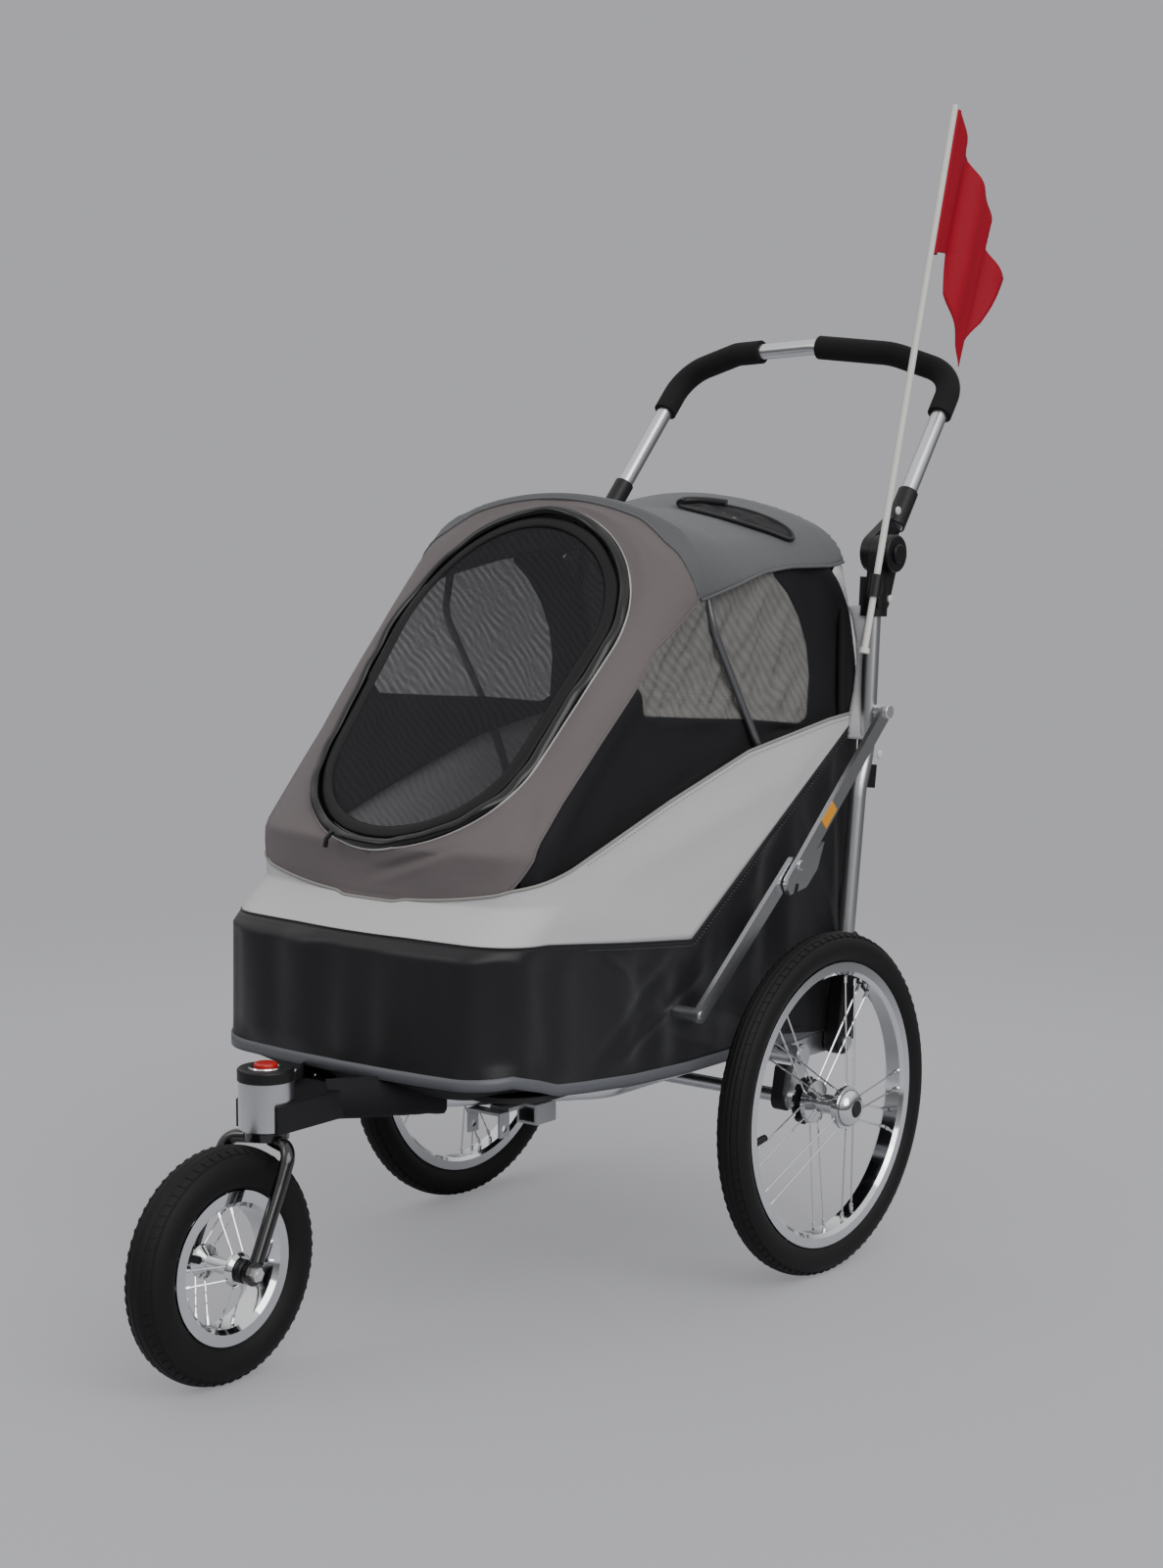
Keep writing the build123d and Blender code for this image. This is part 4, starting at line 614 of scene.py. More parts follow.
# ------------------------------------------------------------------ camera and light
@dataclass
class Studio:
    """Camera, soft lights and a plain pale floor that runs out into the same pale ground."""

    camera_place: Point = (2.0886, -2.5688, 1.0264)
    camera_target: Point = (-0.084, 0.221, 0.542)
    camera_roll: float = math.radians(0.17)
    lens: float = 67.43
    paper: str = "#B1B1B5"
    floor_tone: str = "#B9B9BE"
    floor_share: float = 0.5
    floor_half: float = 5.0
    fade_start: float = 1.1
    fade_end: float = 2.6

    def camera(self) -> None:
        """Sets the camera."""
        data = bpy.data.cameras.new("camera")
        data.lens = self.lens
        data.sensor_width = 36.0
        camera = bpy.data.objects.new("camera", data)
        place = Vector(self.camera_place)
        turn = (Vector(self.camera_target) - place).to_track_quat("-Z", "Y").to_matrix().to_4x4()
        camera.matrix_world = (
            Matrix.Translation(place) @ turn @ Matrix.Rotation(self.camera_roll, 4, "Z")
        )
        bpy.context.scene.collection.objects.link(camera)
        bpy.context.scene.camera = camera

    def light(self, name: str, kind: str, place: Point, power: float, size: float) -> None:
        """Adds a soft light that faces the stroller's middle.

        Args:
            name: The light's name.
            kind: SUN or AREA.
            place: Where it stands, or the direction that it comes from.
            power: Its strength.
            size: Its side in metres, or its angle in radians for a sun.
        """
        data = bpy.data.lights.new(name, kind)
        data.energy = power
        if kind == "SUN":
            data.angle = size
        else:
            data.size = size
        light = bpy.data.objects.new(name, data)
        light.location = place
        facing = (Vector(self.camera_target) - Vector(place)).to_track_quat("-Z", "Y")
        light.rotation_euler = facing.to_euler()
        bpy.context.scene.collection.objects.link(light)

    def surroundings(self) -> None:
        """Lights the scene evenly, with the plain paper tone behind the object."""
        world = bpy.data.worlds.new("studio")
        bpy.context.scene.world = world
        world.use_nodes = True
        tree = world.node_tree
        tree.nodes.clear()
        rays = add_node(tree, "ShaderNodeLightPath")
        way = add_node(tree, "ShaderNodeTexCoord").outputs["Generated"]
        height = add_node(tree, "ShaderNodeSeparateXYZ", {}, {0: way}).outputs["Z"]
        sky = add_node(
            tree,
            "ShaderNodeMapRange",
            {"interpolation_type": "SMOOTHSTEP"},
            {"Value": height, "From Min": -0.15, "From Max": 0.75, "To Min": 0.12, "To Max": 1.0},
        )
        around = add_node(
            tree, "ShaderNodeBackground", {},
            {"Color": (1.0, 1.0, 1.0, 1.0), "Strength": sky.outputs[0]}
        )
        seen = add_node(
            tree, "ShaderNodeBackground", {}, {"Color": linear(self.paper), "Strength": 1.0}
        )
        through = add_node(
            tree,
            "ShaderNodeMath",
            {"operation": "MAXIMUM"},
            {0: rays.outputs["Is Camera Ray"], 1: rays.outputs["Is Transmission Ray"]},
        )
        mixed = add_node(
            tree,
            "ShaderNodeMixShader",
            {},
            {0: through.outputs[0], 1: around.outputs[0], 2: seen.outputs[0]},
        )
        add_node(tree, "ShaderNodeOutputWorld", {}, {"Surface": mixed.outputs[0]})

    def floor(self) -> None:
        """Lays the floor, whose far part fades into the ground tone."""
        bm = bmesh.new()
        corners = ((-1, -1), (1, -1), (1, 1), (-1, 1))
        bm.faces.new([bm.verts.new((x * self.floor_half, y * self.floor_half, 0))
                      for x, y in corners])
        plane = mesh_object("floor", bm)
        material = bpy.data.materials.new("floor_paper")
        material.use_nodes = True
        tree = material.node_tree
        tree.nodes.clear()
        shader = add_node(
            tree,
            "ShaderNodeBsdfPrincipled",
            {},
            {"Base Color": linear(self.floor_tone), "Roughness": 0.9, "Specular IOR Level": 0.1},
        )
        glow = add_node(tree, "ShaderNodeEmission", {}, {"Color": linear(self.paper)})
        rays = add_node(tree, "ShaderNodeLightPath")
        share = add_node(tree, "ShaderNodeMath", {"operation": "MULTIPLY"},
                         {0: rays.outputs["Is Camera Ray"], 1: self.floor_share})
        lit = add_node(
            tree,
            "ShaderNodeMixShader",
            {},
            {0: share.outputs[0], 1: shader.outputs[0], 2: glow.outputs[0]},
        )
        where = add_node(tree, "ShaderNodeTexCoord").outputs["Object"]
        far = add_node(tree, "ShaderNodeVectorMath", {"operation": "LENGTH"}, {0: where})
        fade = add_node(
            tree,
            "ShaderNodeMapRange",
            {"interpolation_type": "SMOOTHSTEP"},
            {"Value": far.outputs["Value"], "From Min": self.fade_start,
             "From Max": self.fade_end},
        )
        clear = add_node(tree, "ShaderNodeBsdfTransparent")
        mixed = add_node(
            tree,
            "ShaderNodeMixShader",
            {},
            {0: fade.outputs[0], 1: lit.outputs[0], 2: clear.outputs[0]},
        )
        add_node(tree, "ShaderNodeOutputMaterial", {}, {"Surface": mixed.outputs[0]})
        plane.data.materials.append(material)

    def build(self) -> None:
        """Sets camera, lights, surroundings and floor."""
        self.camera()
        self.surroundings()
        self.light("sun", "SUN", (3.2, -1.5, 3.4), 1.45, math.radians(45))
        self.light("side", "AREA", (3.2, -0.2, 1.5), 12.0, 1.2)
        self.light("strip", "AREA", (-1.8, -2.6, 2.6), 10.0, 1.0)
        self.floor()


# ------------------------------------------------------------------ wheels
@dataclass
class Wheel:
    """One spoked wheel with its ribbed tyre, rim, spokes, hub and valve."""

    name: str
    body: str
    suffix: str
    valve_turn: float
    lugs: int = 92
    tread_relief: float = 0.0009
    bead_wall: float = 0.0026
    place: Vector = field(init=False)
    radius: float = field(init=False)
    half_width: float = field(init=False)

    def __post_init__(self) -> None:
        """Reads the wheel's place and size from its tyre."""
        low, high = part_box(self.node("tyre"))
        self.place = (Vector(low) + Vector(high)) / 2
        self.radius = (high[2] - low[2]) / 2
        self.half_width = (high[0] - low[0]) / 2

    def node(self, part: str) -> str:
        """Returns the CAD node's name of one of the wheel's parts."""
        return f"{self.name}_{part}{self.suffix}"

    def section_point(self, turn: float, lift: float = 0.0) -> tuple[float, float]:
        """Returns offset and radius of a point on the tyre's round section.

        Args:
            turn: Angle from the middle of the tread, in radians.
            lift: How far above the section's circle the point lies.
        """
        reach = self.half_width + lift
        middle = self.radius - self.half_width
        return (reach * math.sin(turn), middle + reach * math.cos(turn))

    def tread_lift(self, turn: float) -> float:
        """Returns how deep the circumferential grooves cut at an angle from the tread's middle."""
        lines = (0.0, 0.36, 0.78)
        near = min(abs(abs(turn) - line) for line in lines)
        return -self.tread_relief * (1.0 if near < 0.035 else 0.0)

    def tyre(self) -> None:
        """Turns the tyre with its ribs."""
        rim_low, rim_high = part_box(self.node("rim"))
        rim_radius = (rim_high[2] - rim_low[2]) / 2
        middle = self.radius - self.half_width
        end = math.acos(max(-1.0, (rim_radius + 0.0006 - middle) / self.half_width))
        steps = 72
        turns = [end * (2 * k / steps - 1) for k in range(steps + 1)]
        outer = [self.section_point(t, self.tread_lift(t)) for t in turns]
        inner = [self.section_point(t, -self.bead_wall) for t in reversed(turns)]
        bm = lathe(self.name, outer + inner, self.place, 168)
        piece = mesh_object(f"{self.node('tyre')}_ribbed", bm, 50.0)
        finish_piece(piece, TYRE, self.body, [self.node("tyre")])

    def tread(self) -> None:
        """Lays the shoulder lugs round the tyre on both sides."""
        for hand in (-1, 1):
            bm = bmesh.new()
            turns = [hand * (0.44 + 0.06 * k) for k in range(6)]
            half_arc = 0.32 * math.pi / self.lugs
            rows = []
            for lift in (-0.0006, 0.0008):
                for spin in (-half_arc, half_arc):
                    row = []
                    for k, turn in enumerate(turns):
                        x, r = self.section_point(turn, lift)
                        lean = spin + 0.25 * k * half_arc
                        row.append(bm.verts.new((x, r * math.sin(lean), r * math.cos(lean))))
                    rows.append(row)
            low_a, low_b, high_a, high_b = rows
            for a, b in ((low_a, low_b), (high_a, high_b), (low_a, high_a), (low_b, high_b)):
                for i in range(len(turns) - 1):
                    bm.faces.new((a[i], a[i + 1], b[i + 1], b[i]))
            for i in (0, -1):
                bm.faces.new((low_a[i], low_b[i], high_b[i], high_a[i]))
            bmesh.ops.recalc_face_normals(bm, faces=bm.faces)
            label = "left" if hand > 0 else "right"
            piece = run_tree(
                f"{self.node('tyre')}_lugs_{label}",
                bm,
                round_tree(),
                {"Count": self.lugs, "Centre": self.place, "Material": TYRE.material()},
            )
            finish_piece(piece, TYRE, self.body)

    def valve(self) -> None:
        """Sets the valve's dust cap on the rim's inside."""
        rim_low, rim_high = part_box(self.node("rim"))
        rim_radius = (rim_high[2] - rim_low[2]) / 2
        turn = math.radians(self.valve_turn)
        way = Vector((0.0, math.cos(turn), math.sin(turn)))
        start = self.place + way * (rim_radius - 0.042)
        pipe(f"{self.node('valve')}_cap", [start, start + way * 0.016], 0.0042, NYLON, self.body)

    def build(self) -> None:
        """Builds the wheel's visible pieces."""
        self.tyre()
        self.tread()
        self.valve()
        for part in ("rim", "hub", "spokes"):
            smooth_copy(self.node(part), CHROME, self.body)


# ------------------------------------------------------------------ metal and plastic
def dress(finish: Finish, *nodes: str) -> None:
    """Gives CAD nodes that are shown as they are a finish."""
    for name in nodes:
        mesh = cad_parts[name].data
        mesh.materials.clear()
        mesh.materials.append(finish.material())
        LOG.info("%s dressed as %s", name, finish.name)


def dress_pair(finish: Finish, *stems: str) -> None:
    """Gives the left and right nodes of each stem a finish."""
    for stem in stems:
        dress(finish, f"{stem}_left", f"{stem}_right")


@dataclass
class FrameTrim:
    """Small fastenings and trims of the frame that the CAD leaves out.

    Buttons are given by place, radius and rise, all in metres.
    """

    ring_gap: float = 0.0012
    plug_length: float = 0.006
    plug_overlap: float = 0.004
    reflector_size: Point = (0.0016, 0.03, 0.014)
    spacer_bore: float = 0.0048
    spacer_radius: float = 0.0125
    rivet: tuple[float, float] = (0.0048, 0.0025)
    bolt_cap: tuple[float, float] = (0.0052, 0.0025)

    def button(self, name: str, foot: Vector, way: Vector, radius: float, rise: float,
               finish: Finish, body: str) -> None:
        """Adds a low domed disc.

        Args:
            name: The piece's name.
            foot: Middle of the face that it stands on.
            way: Direction it stands in.
            radius: Radius of its foot.
            rise: Its height.
            finish: Its finish.
            body: The body it rides on.
        """
        profile = [(-0.0004, 0.0), (-0.0004, radius), (0.45 * rise, radius),
                   (0.8 * rise, 0.82 * radius), (rise, 0.45 * radius), (rise, 0.0)]
        bm = lathe(name, profile, Vector(), 28)
        turn = Vector((1, 0, 0)).rotation_difference(way.normalized()).to_matrix().to_4x4()
        bmesh.ops.transform(bm, matrix=Matrix.Translation(foot) @ turn, verts=bm.verts)
        finish_piece(mesh_object(name, bm, 35.0), finish, body)

    def both_sides(self, name: str, place: Point, radius: float, rise: float, finish: Finish,
                   body: str) -> None:
        """Adds a domed disc at a place on the left and its mirror image on the right."""
        x, y, z = place
        for hand, label in SIDES:
            self.button(f"{name}_{label}", at(hand * x, y, z), Vector((hand, 0, 0)), radius,
                        rise, finish, body)

    def head_ring(self) -> None:
        """Lays the bright ring round the steering button."""
        low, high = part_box("steering_button")
        cap_low, cap_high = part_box("head_cap")
        centre = (Vector(cap_low) + Vector(cap_high)) / 2
        inside = (high[0] - low[0]) / 2 + self.ring_gap
        profile = [(0.0, inside), (0.0, inside + 0.0045), (0.0012, inside + 0.0038),
                   (0.0012, inside + 0.0006)]
        bm = lathe("head ring", profile, Vector(), 48)
        turn = Matrix.Rotation(-math.pi / 2, 4, "Y")
        foot = Vector((centre.x, centre.y, cap_high[2]))
        bmesh.ops.transform(bm, matrix=Matrix.Translation(foot) @ turn, verts=bm.verts)
        finish_piece(mesh_object("head_ring", bm, 35.0), CHROME, "chassis")

    def rail_ends(self) -> None:
        """Closes the rails' rear ends with moulded plugs."""
        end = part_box("rails")[1][1]
        for hand, label in SIDES:
            x = hand * (CABIN_HALF - RAIL_INSET)
            foot = Vector((x, end - self.plug_overlap, RAIL_HEIGHT))
            self.button(f"rail_plug_{label}", foot + Vector((0, self.plug_overlap, 0)),
                        Vector((0, 1, 0)), RAIL_RADIUS, self.plug_length, NYLON, "chassis")

    def reflector(self) -> None:
        """Sets the amber reflectors on the upper links."""
        thick, long, wide = self.reflector_size
        link_foot, link_top = (-0.02, 0.479), (0.163, 0.64)
        reach = Vector((0, link_top[0] - link_foot[0], link_top[1] - link_foot[1])).normalized()
        across = Vector((0, -reach.z, reach.y))
        for hand, label in SIDES:
            face_x = hand * LINK_FACE
            centre = Vector((face_x, AXLE_Y + link_foot[0], link_foot[1])) + reach * 0.078
            bm = bmesh.new()
            bmesh.ops.create_cube(bm, size=1.0)
            grid = Matrix((
                (thick, 0, 0, centre.x),
                (0, reach.y * long, across.y * wide, centre.y),
                (0, reach.z * long, across.z * wide, centre.z),
                (0, 0, 0, 1),
            ))
            bmesh.ops.transform(bm, matrix=grid, verts=bm.verts)
            bmesh.ops.recalc_face_normals(bm, faces=bm.faces)
            finish_piece(mesh_object(f"reflector_{label}", bm), AMBER, f"upper_link_{label}")

    def hub_housings(self) -> None:
        """Sets the black spacers between the front hub and the fork legs."""
        low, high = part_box("front_hub")
        centre = (Vector(low) + Vector(high)) / 2
        out = high[0] + 0.0004
        for hand, label in SIDES:
            section = ((out, self.spacer_bore), (out, self.spacer_radius),
                       (out + 0.006, self.spacer_radius), (out + 0.0075, 0.0105),
                       (out + 0.0075, self.spacer_bore))
            profile = [(hand * x, r) for x, r in section]
            bm = lathe("spacer", profile, Vector((0, centre.y, centre.z)), 36)
            finish_piece(mesh_object(f"hub_spacer_{label}", bm, 35.0), NYLON, "fork")

    def build(self) -> None:
        """Dresses the metal and plastic nodes and adds the trims."""
        dress(SATIN_TUBE, "rails", "axle_beam", "uprights", "handle_tube", "head_housing")
        dress_pair(SATIN_TUBE, "lower_link", "upper_link")
        dress(ENAMEL, "fork")
        dress(BRIGHT, "axle_pins", "fold_bolts", "pivot_bolts", "front_axle")
        dress(NYLON, "head_cap", "head_connector", "brake_housings", "upright_fittings",
              "joint_uppers", "joint_lowers", "brake_pedal")
        dress_pair(NYLON, "wheel_button", "joint_button", "brake_disc")
        dress(RED_CAP, "steering_button")
        dress(ZINC, "tow_hitch")
        dress(FOAM, "handle_grips")
        dress(BOARD, "floor_board")
        dress(FLAG_ROD, "flag_pole")
        dress(TYRE, "front_inner_tube", "rear_inner_tube_left", "rear_inner_tube_right")
        self.head_ring()
        self.rail_ends()
        self.reflector()
        self.hub_housings()
        # The upper rivets hang clear of the joint, at rest too: their place is wrong.
        # The bolt caps stand about 4 mm off the uprights.
        for name, place, size, body in (
            ("joint_rivet_high", (0.2375, 0.196, 0.876), self.rivet, "handle"),
            ("joint_rivet_low", (0.2385, 0.180, 0.772), self.rivet, "rear_frame"),
            ("frame_bolt_cap", (0.234, 0.170, 0.587), self.bolt_cap, "rear_frame"),
        ):
            self.both_sides(name, place, *size, WHITE_CAP, body)


# ------------------------------------------------------------------ cabin form
CAST_HALVINGS = 17
ROUND_SAMPLES = 720
ROUND_HEIGHT = 0.45
SEAM_SPAN = (0.22, 0.68)
SEAM_HALVINGS = 14
END_HALVINGS = 9
WALL_TOP = 0.78  # above it the side walls keep 3.5 mm inside the form


def row_at(rows: Sequence[Sequence[float]], key: float) -> Sequence[float]:
    """Returns the values between the two rows that a key lies between.

    Args:
        rows: Rows of a key and its values, the keys rising.
        key: Where to read.

    Returns:
        The values there.
    """
    if key <= rows[0][0]:
        return rows[0][1:]
    for low, high in zip(rows, rows[1:]):
        if key <= high[0]:
            share = (key - low[0]) / (high[0] - low[0])
            return [a + (b - a) * share for a, b in zip(low[1:], high[1:])]
    return rows[-1][1:]


def line_at(line: Line2, station: float) -> float:
    """Returns the height of a side-view line at a station."""
    return row_at(line, station)[0]


def bulge(across: float, depth: float, arc: float, corner: float) -> float:
    """Returns how far inside a bowed front with rounded corners a point lies.

    Args:
        across: Distance from the middle plane.
        depth: Distance behind the crown of the bow.
        arc: Radius of the bow.
        corner: Radius of the corners.

    Returns:
        The distance, negative outside.
    """
    fillet_x = CABIN_HALF - corner
    fillet_depth = arc - math.sqrt((arc - corner) ** 2 - fillet_x**2)
    if depth < fillet_depth and fillet_x * (depth - arc) > (fillet_depth - arc) * across:
        return corner - math.hypot(across - fillet_x, depth - fillet_depth)
    return min(arc - math.hypot(across, depth - arc), CABIN_HALF - across)


@dataclass(frozen=True)
class CabinForm:
    """The outer form that the cabin's cloth is stretched over."""

    levels: Sequence[Sequence[float]] = (
        (0.228, -0.528, 0.014, 0.187), (0.432, -0.524, 0.014, 0.187),
        (0.480, -0.478, 0.030, 0.188), (0.535, -0.482, 0.038, 0.188),
        (0.655, -0.372, 0.044, 0.190), (0.815, -0.225, 0.050, 0.150),
        (0.912, -0.137, 0.050, 0.138),
    )
    crowns: Line2 = ((-0.545, 0.905), (-0.165, 0.905), (-0.060, 0.882), (0.020, 0.879),
                     (0.120, 0.893), (0.195, 0.885))
    front_corner: float = 0.062
    rear_corner: float = 0.025
    roof_arc: float = 0.420
    roof_shoulder: float = 0.080

    def depth(self, point: Vector) -> float:
        """Returns how far inside the form a point lies, negative outside."""
        across, station = abs(point.x), point.y - AXLE_Y
        nose, sagitta, rear = row_at(self.levels, point.z)
        arc = (CABIN_HALF**2 + sagitta**2) / (2 * sagitta)
        plan = bulge(across, station - nose, arc, self.front_corner)
        side, back = CABIN_HALF - across, rear - station
        if side < self.rear_corner and back < self.rear_corner:
            tail = self.rear_corner - math.hypot(self.rear_corner - side, self.rear_corner - back)
        else:
            tail = min(side, back)
        crown = line_at(self.crowns, station)
        roof = bulge(across, crown - point.z, self.roof_arc, self.roof_shoulder)
        return min(plan, tail, roof)

    def cast(self, start: Vector, way: Vector, reach: float = 0.8) -> Vector:
        """Returns where a ray from inside the form leaves it."""
        low, high = 0.0, reach
        for _ in range(CAST_HALVINGS):
            middle = (low + high) / 2
            if self.depth(start + way * middle) > 0:
                low = middle
            else:
                high = middle
        return start + way * low


FORM = CabinForm()
# Side-view lines of the seams: station and height.
HEM_FOOT = ((-0.545, 0.296), (-0.480, 0.300), (-0.440, 0.289), (-0.410, 0.279),
            (-0.358, 0.273), (-0.271, 0.265), (-0.179, 0.261), (0.008, 0.260), (0.187, 0.237),
            (0.205, 0.237))
TUB_TOP = ((-0.545, 0.440), (-0.508, 0.446), (-0.425, 0.441), (-0.288, 0.423), (-0.169, 0.409),
           (0.165, 0.632), (0.205, 0.632))
BAND_TOP = ((-0.545, 0.474), (-0.480, 0.477), (-0.468, 0.487), (-0.453, 0.499),
            (-0.408, 0.511), (-0.385, 0.516), (-0.211, 0.570), (-0.060, 0.611),
            (0.106, 0.633), (0.168, 0.6374), (0.205, 0.640))
FRONT_SEAM = ((-0.453, 0.499), (-0.430, 0.543), (-0.387, 0.587), (-0.325, 0.646), (-0.267, 0.700),
              (-0.231, 0.740), (-0.160, 0.787))
CROWN_SEAM = ((-0.165, 0.818), (-0.163, 0.849), (-0.154, 0.875), (-0.150, 0.960))
ROOF_EDGE = ((-0.160, 0.787), (-0.094, 0.799), (-0.020, 0.812), (0.037, 0.815),
             (0.111, 0.813), (0.137, 0.816), (0.260, 0.822))
STRIP = ((0.150, 0.6360), (0.159, 0.662), (0.165, 0.695), (0.162, 0.723), (0.153, 0.750),
         (0.140, 0.770), (0.124, 0.792), (0.106, 0.813))
NET_EDGE = ((-0.267, 0.700), (-0.245, 0.666), (-0.145, 0.655), (-0.053, 0.646),
            (0.058, 0.631), (0.074, 0.637), (0.079, 0.685), (0.072, 0.722), (0.055, 0.756),
            (0.030, 0.786), (0.003, 0.806), (-0.012, 0.850), (-0.220, 0.850), (-0.330, 0.740))

Net = list[list[Vector]]


def inside(outline: Line2) -> Callable[[Vector], bool]:
    """Returns a test of whether a point lies inside a side outline."""
    closed = list(zip(outline, [*outline[1:], outline[0]]))

    def test(point: Vector) -> bool:
        """Says whether the point lies inside, by counting the edges on one side of it."""
        station, height = point.y - AXLE_Y, point.z
        crossings = 0
        for (y0, z0), (y1, z1) in closed:
            if (z0 > height) != (z1 > height):
                crossings += station < y0 + (height - z0) * (y1 - y0) / (z1 - z0)
        return crossings % 2 == 1

    return test


def ring_net(low: Callable[[float], float], high: Callable[[float], float], columns: int,
             rows: int, out: float = 0.0) -> Net:
    """Returns a closed net round the form between two side-view lines.

    Args:
        low: Height of the lower line at a station.
        high: Height of the upper line at a station.
        columns: How many columns go round.
        rows: How many meshes each column has.
        out: How far outside the form the net lies.

    Returns:
        Columns of points from the lower to the upper line.
    """

    def cast(turn: float, height: float) -> Vector:
        """Returns the net's point at a turn about the middle and a height."""
        way = Vector((math.sin(turn), -math.cos(turn), 0))
        return FORM.cast(at(0, HEART_STATION, height), way) + way * out

    fine = [2 * math.pi * k / ROUND_SAMPLES for k in range(ROUND_SAMPLES + 1)]
    points = [cast(turn, ROUND_HEIGHT) for turn in fine]
    walked = [0.0]
    for a, b in zip(points, points[1:]):
        walked.append(walked[-1] + (b - a).length)
    rows_by_length = list(zip(walked, fine))
    net = []
    for k in range(columns):
        turn = row_at(rows_by_length, walked[-1] * k / columns)[0]
        ends = []
        for line in (low, high):
            below, above = SEAM_SPAN
            for _ in range(SEAM_HALVINGS):
                height = (below + above) / 2
                if height < line(cast(turn, height).y - AXLE_Y):
                    below = height
                else:
                    above = height
            ends.append(below)
        net.append([cast(turn, ends[0] + (ends[1] - ends[0]) * r / rows)
                    for r in range(rows + 1)])
    return net


def fan_net(reach: Callable[[float, float], Vector], belongs: Callable[[Vector], bool],
            columns: int, rows: int, samples: int = 40) -> Net:
    """Returns a net of columns that run outwards over the part that belongs.

    Args:
        reach: Turns a share of the round and a share of the way out into a point.
        belongs: Says whether a point is part of the panel.
        columns: How many columns go round.
        rows: How many meshes each column has.
        samples: How many places along a column are tried for its ends.

    Returns:
        Columns of points, each from its first to its last point that belongs. They start
        behind the widest stretch of the round where nothing belongs.
    """
    net, turns = [], []
    for k in range(columns):
        turn = k / columns
        marks = [belongs(reach(turn, j / samples)) for j in range(samples + 1)]
        if True not in marks:
            continue
        first = marks.index(True)
        last = first
        while last < samples and marks[last + 1]:
            last += 1
        ends = []
        for into, out in ((first, first - 1), (last, last + 1)):
            near, far = into / samples, out / samples
            if not 0 <= out <= samples:
                far = near
            for _ in range(END_HALVINGS):
                middle = (near + far) / 2
                if belongs(reach(turn, middle)):
                    near = middle
                else:
                    far = middle
            ends.append(near)
        net.append([reach(turn, ends[0] + (ends[1] - ends[0]) * r / rows)
                    for r in range(rows + 1)])
        turns.append(k)
    gaps = [(b - a) % columns for a, b in zip(turns, turns[1:] + turns[:1])]
    start = (gaps.index(max(gaps)) + 1) % len(net) if max(gaps) > 1 else 0
    return net[start:] + net[:start]


def dome_reach(centre: Vector, pole: Vector, widest: float) -> Callable[[float, float], Vector]:
    """Returns a chart of the form as seen from a point inside it.

    Args:
        centre: The point inside.
        pole: The direction of the chart's middle.
        widest: Angle from the pole at the chart's rim, in radians.
    """
    pole = pole.normalized()
    zero = pole.cross(Vector((1, 0, 0))).normalized()
    other = pole.cross(zero)

    def reach(turn: float, share: float) -> Vector:
        """Returns the form's point at a share of the round and of the widest tilt."""
        angle = 2 * math.pi * turn
        tilt = widest * share
        flat = zero * math.cos(angle) + other * math.sin(angle)
        return FORM.cast(centre, pole * math.cos(tilt) + flat * math.sin(tilt))

    return reach


# ------------------------------------------------------------------ cloth
def creases(
    pitch: Point, depth: float, seed: float = 0.0, along: Optional[Matrix] = None
) -> Callable[[Vector], float]:
    """Returns a field of soft creases.

    Args:
        pitch: Size of the creases along each axis.
        depth: Their height.
        seed: Shifts the pattern.
        along: Turns the pattern.

    Returns:
        A function from a point to a height.
    """

    def height(point: Vector) -> float:
        """Returns the creases' height at a point."""
        p = along @ point if along else point
        spot = Vector((p.x / pitch[0] + seed, p.y / pitch[1], p.z / pitch[2]))
        return depth * noise.noise(spot)

    return height


def fold(start: Vector, end: Vector, width: float, depth: float) -> Callable[[Vector], float]:
    """Returns a field of one long fold between two points.

    Args:
        start: One end of the fold.
        end: The other end.
        width: Distance from its ridge at which it has faded.
        depth: Height of the ridge, negative for a dent.

    Returns:
        A function from a point to a height.
    """
    run = end - start

    def height(point: Vector) -> float:
        """Returns the fold's height at a point."""
        share = min(1.0, max(0.0, (point - start).dot(run) / run.length_squared))
        gap = (point - start - run * share).length / width
        return depth * math.exp(-gap * gap * 2) * math.sin(math.pi * (0.12 + 0.76 * share))

    return height


def net_mesh(net: Net, closed: bool = True) -> bmesh.types.BMesh:
    """Returns the mesh of a net with its faces away from the cabin's heart."""
    bm = bmesh.new()
    grid = [[bm.verts.new(point) for point in column] for column in net]
    if closed:
        grid.append(grid[0])
    for here, there in zip(grid, grid[1:]):
        for row in range(len(here) - 1):
            bm.faces.new((here[row], there[row], there[row + 1], here[row + 1]))
    bmesh.ops.remove_doubles(bm, verts=bm.verts, dist=2e-5)
    bm.normal_update()
    outward = sum((f.calc_center_median() - CABIN_HEART).dot(f.normal) * f.calc_area()
                  for f in bm.faces)
    if outward < 0:
        bmesh.ops.reverse_faces(bm, faces=bm.faces)
        bm.normal_update()
    return bm


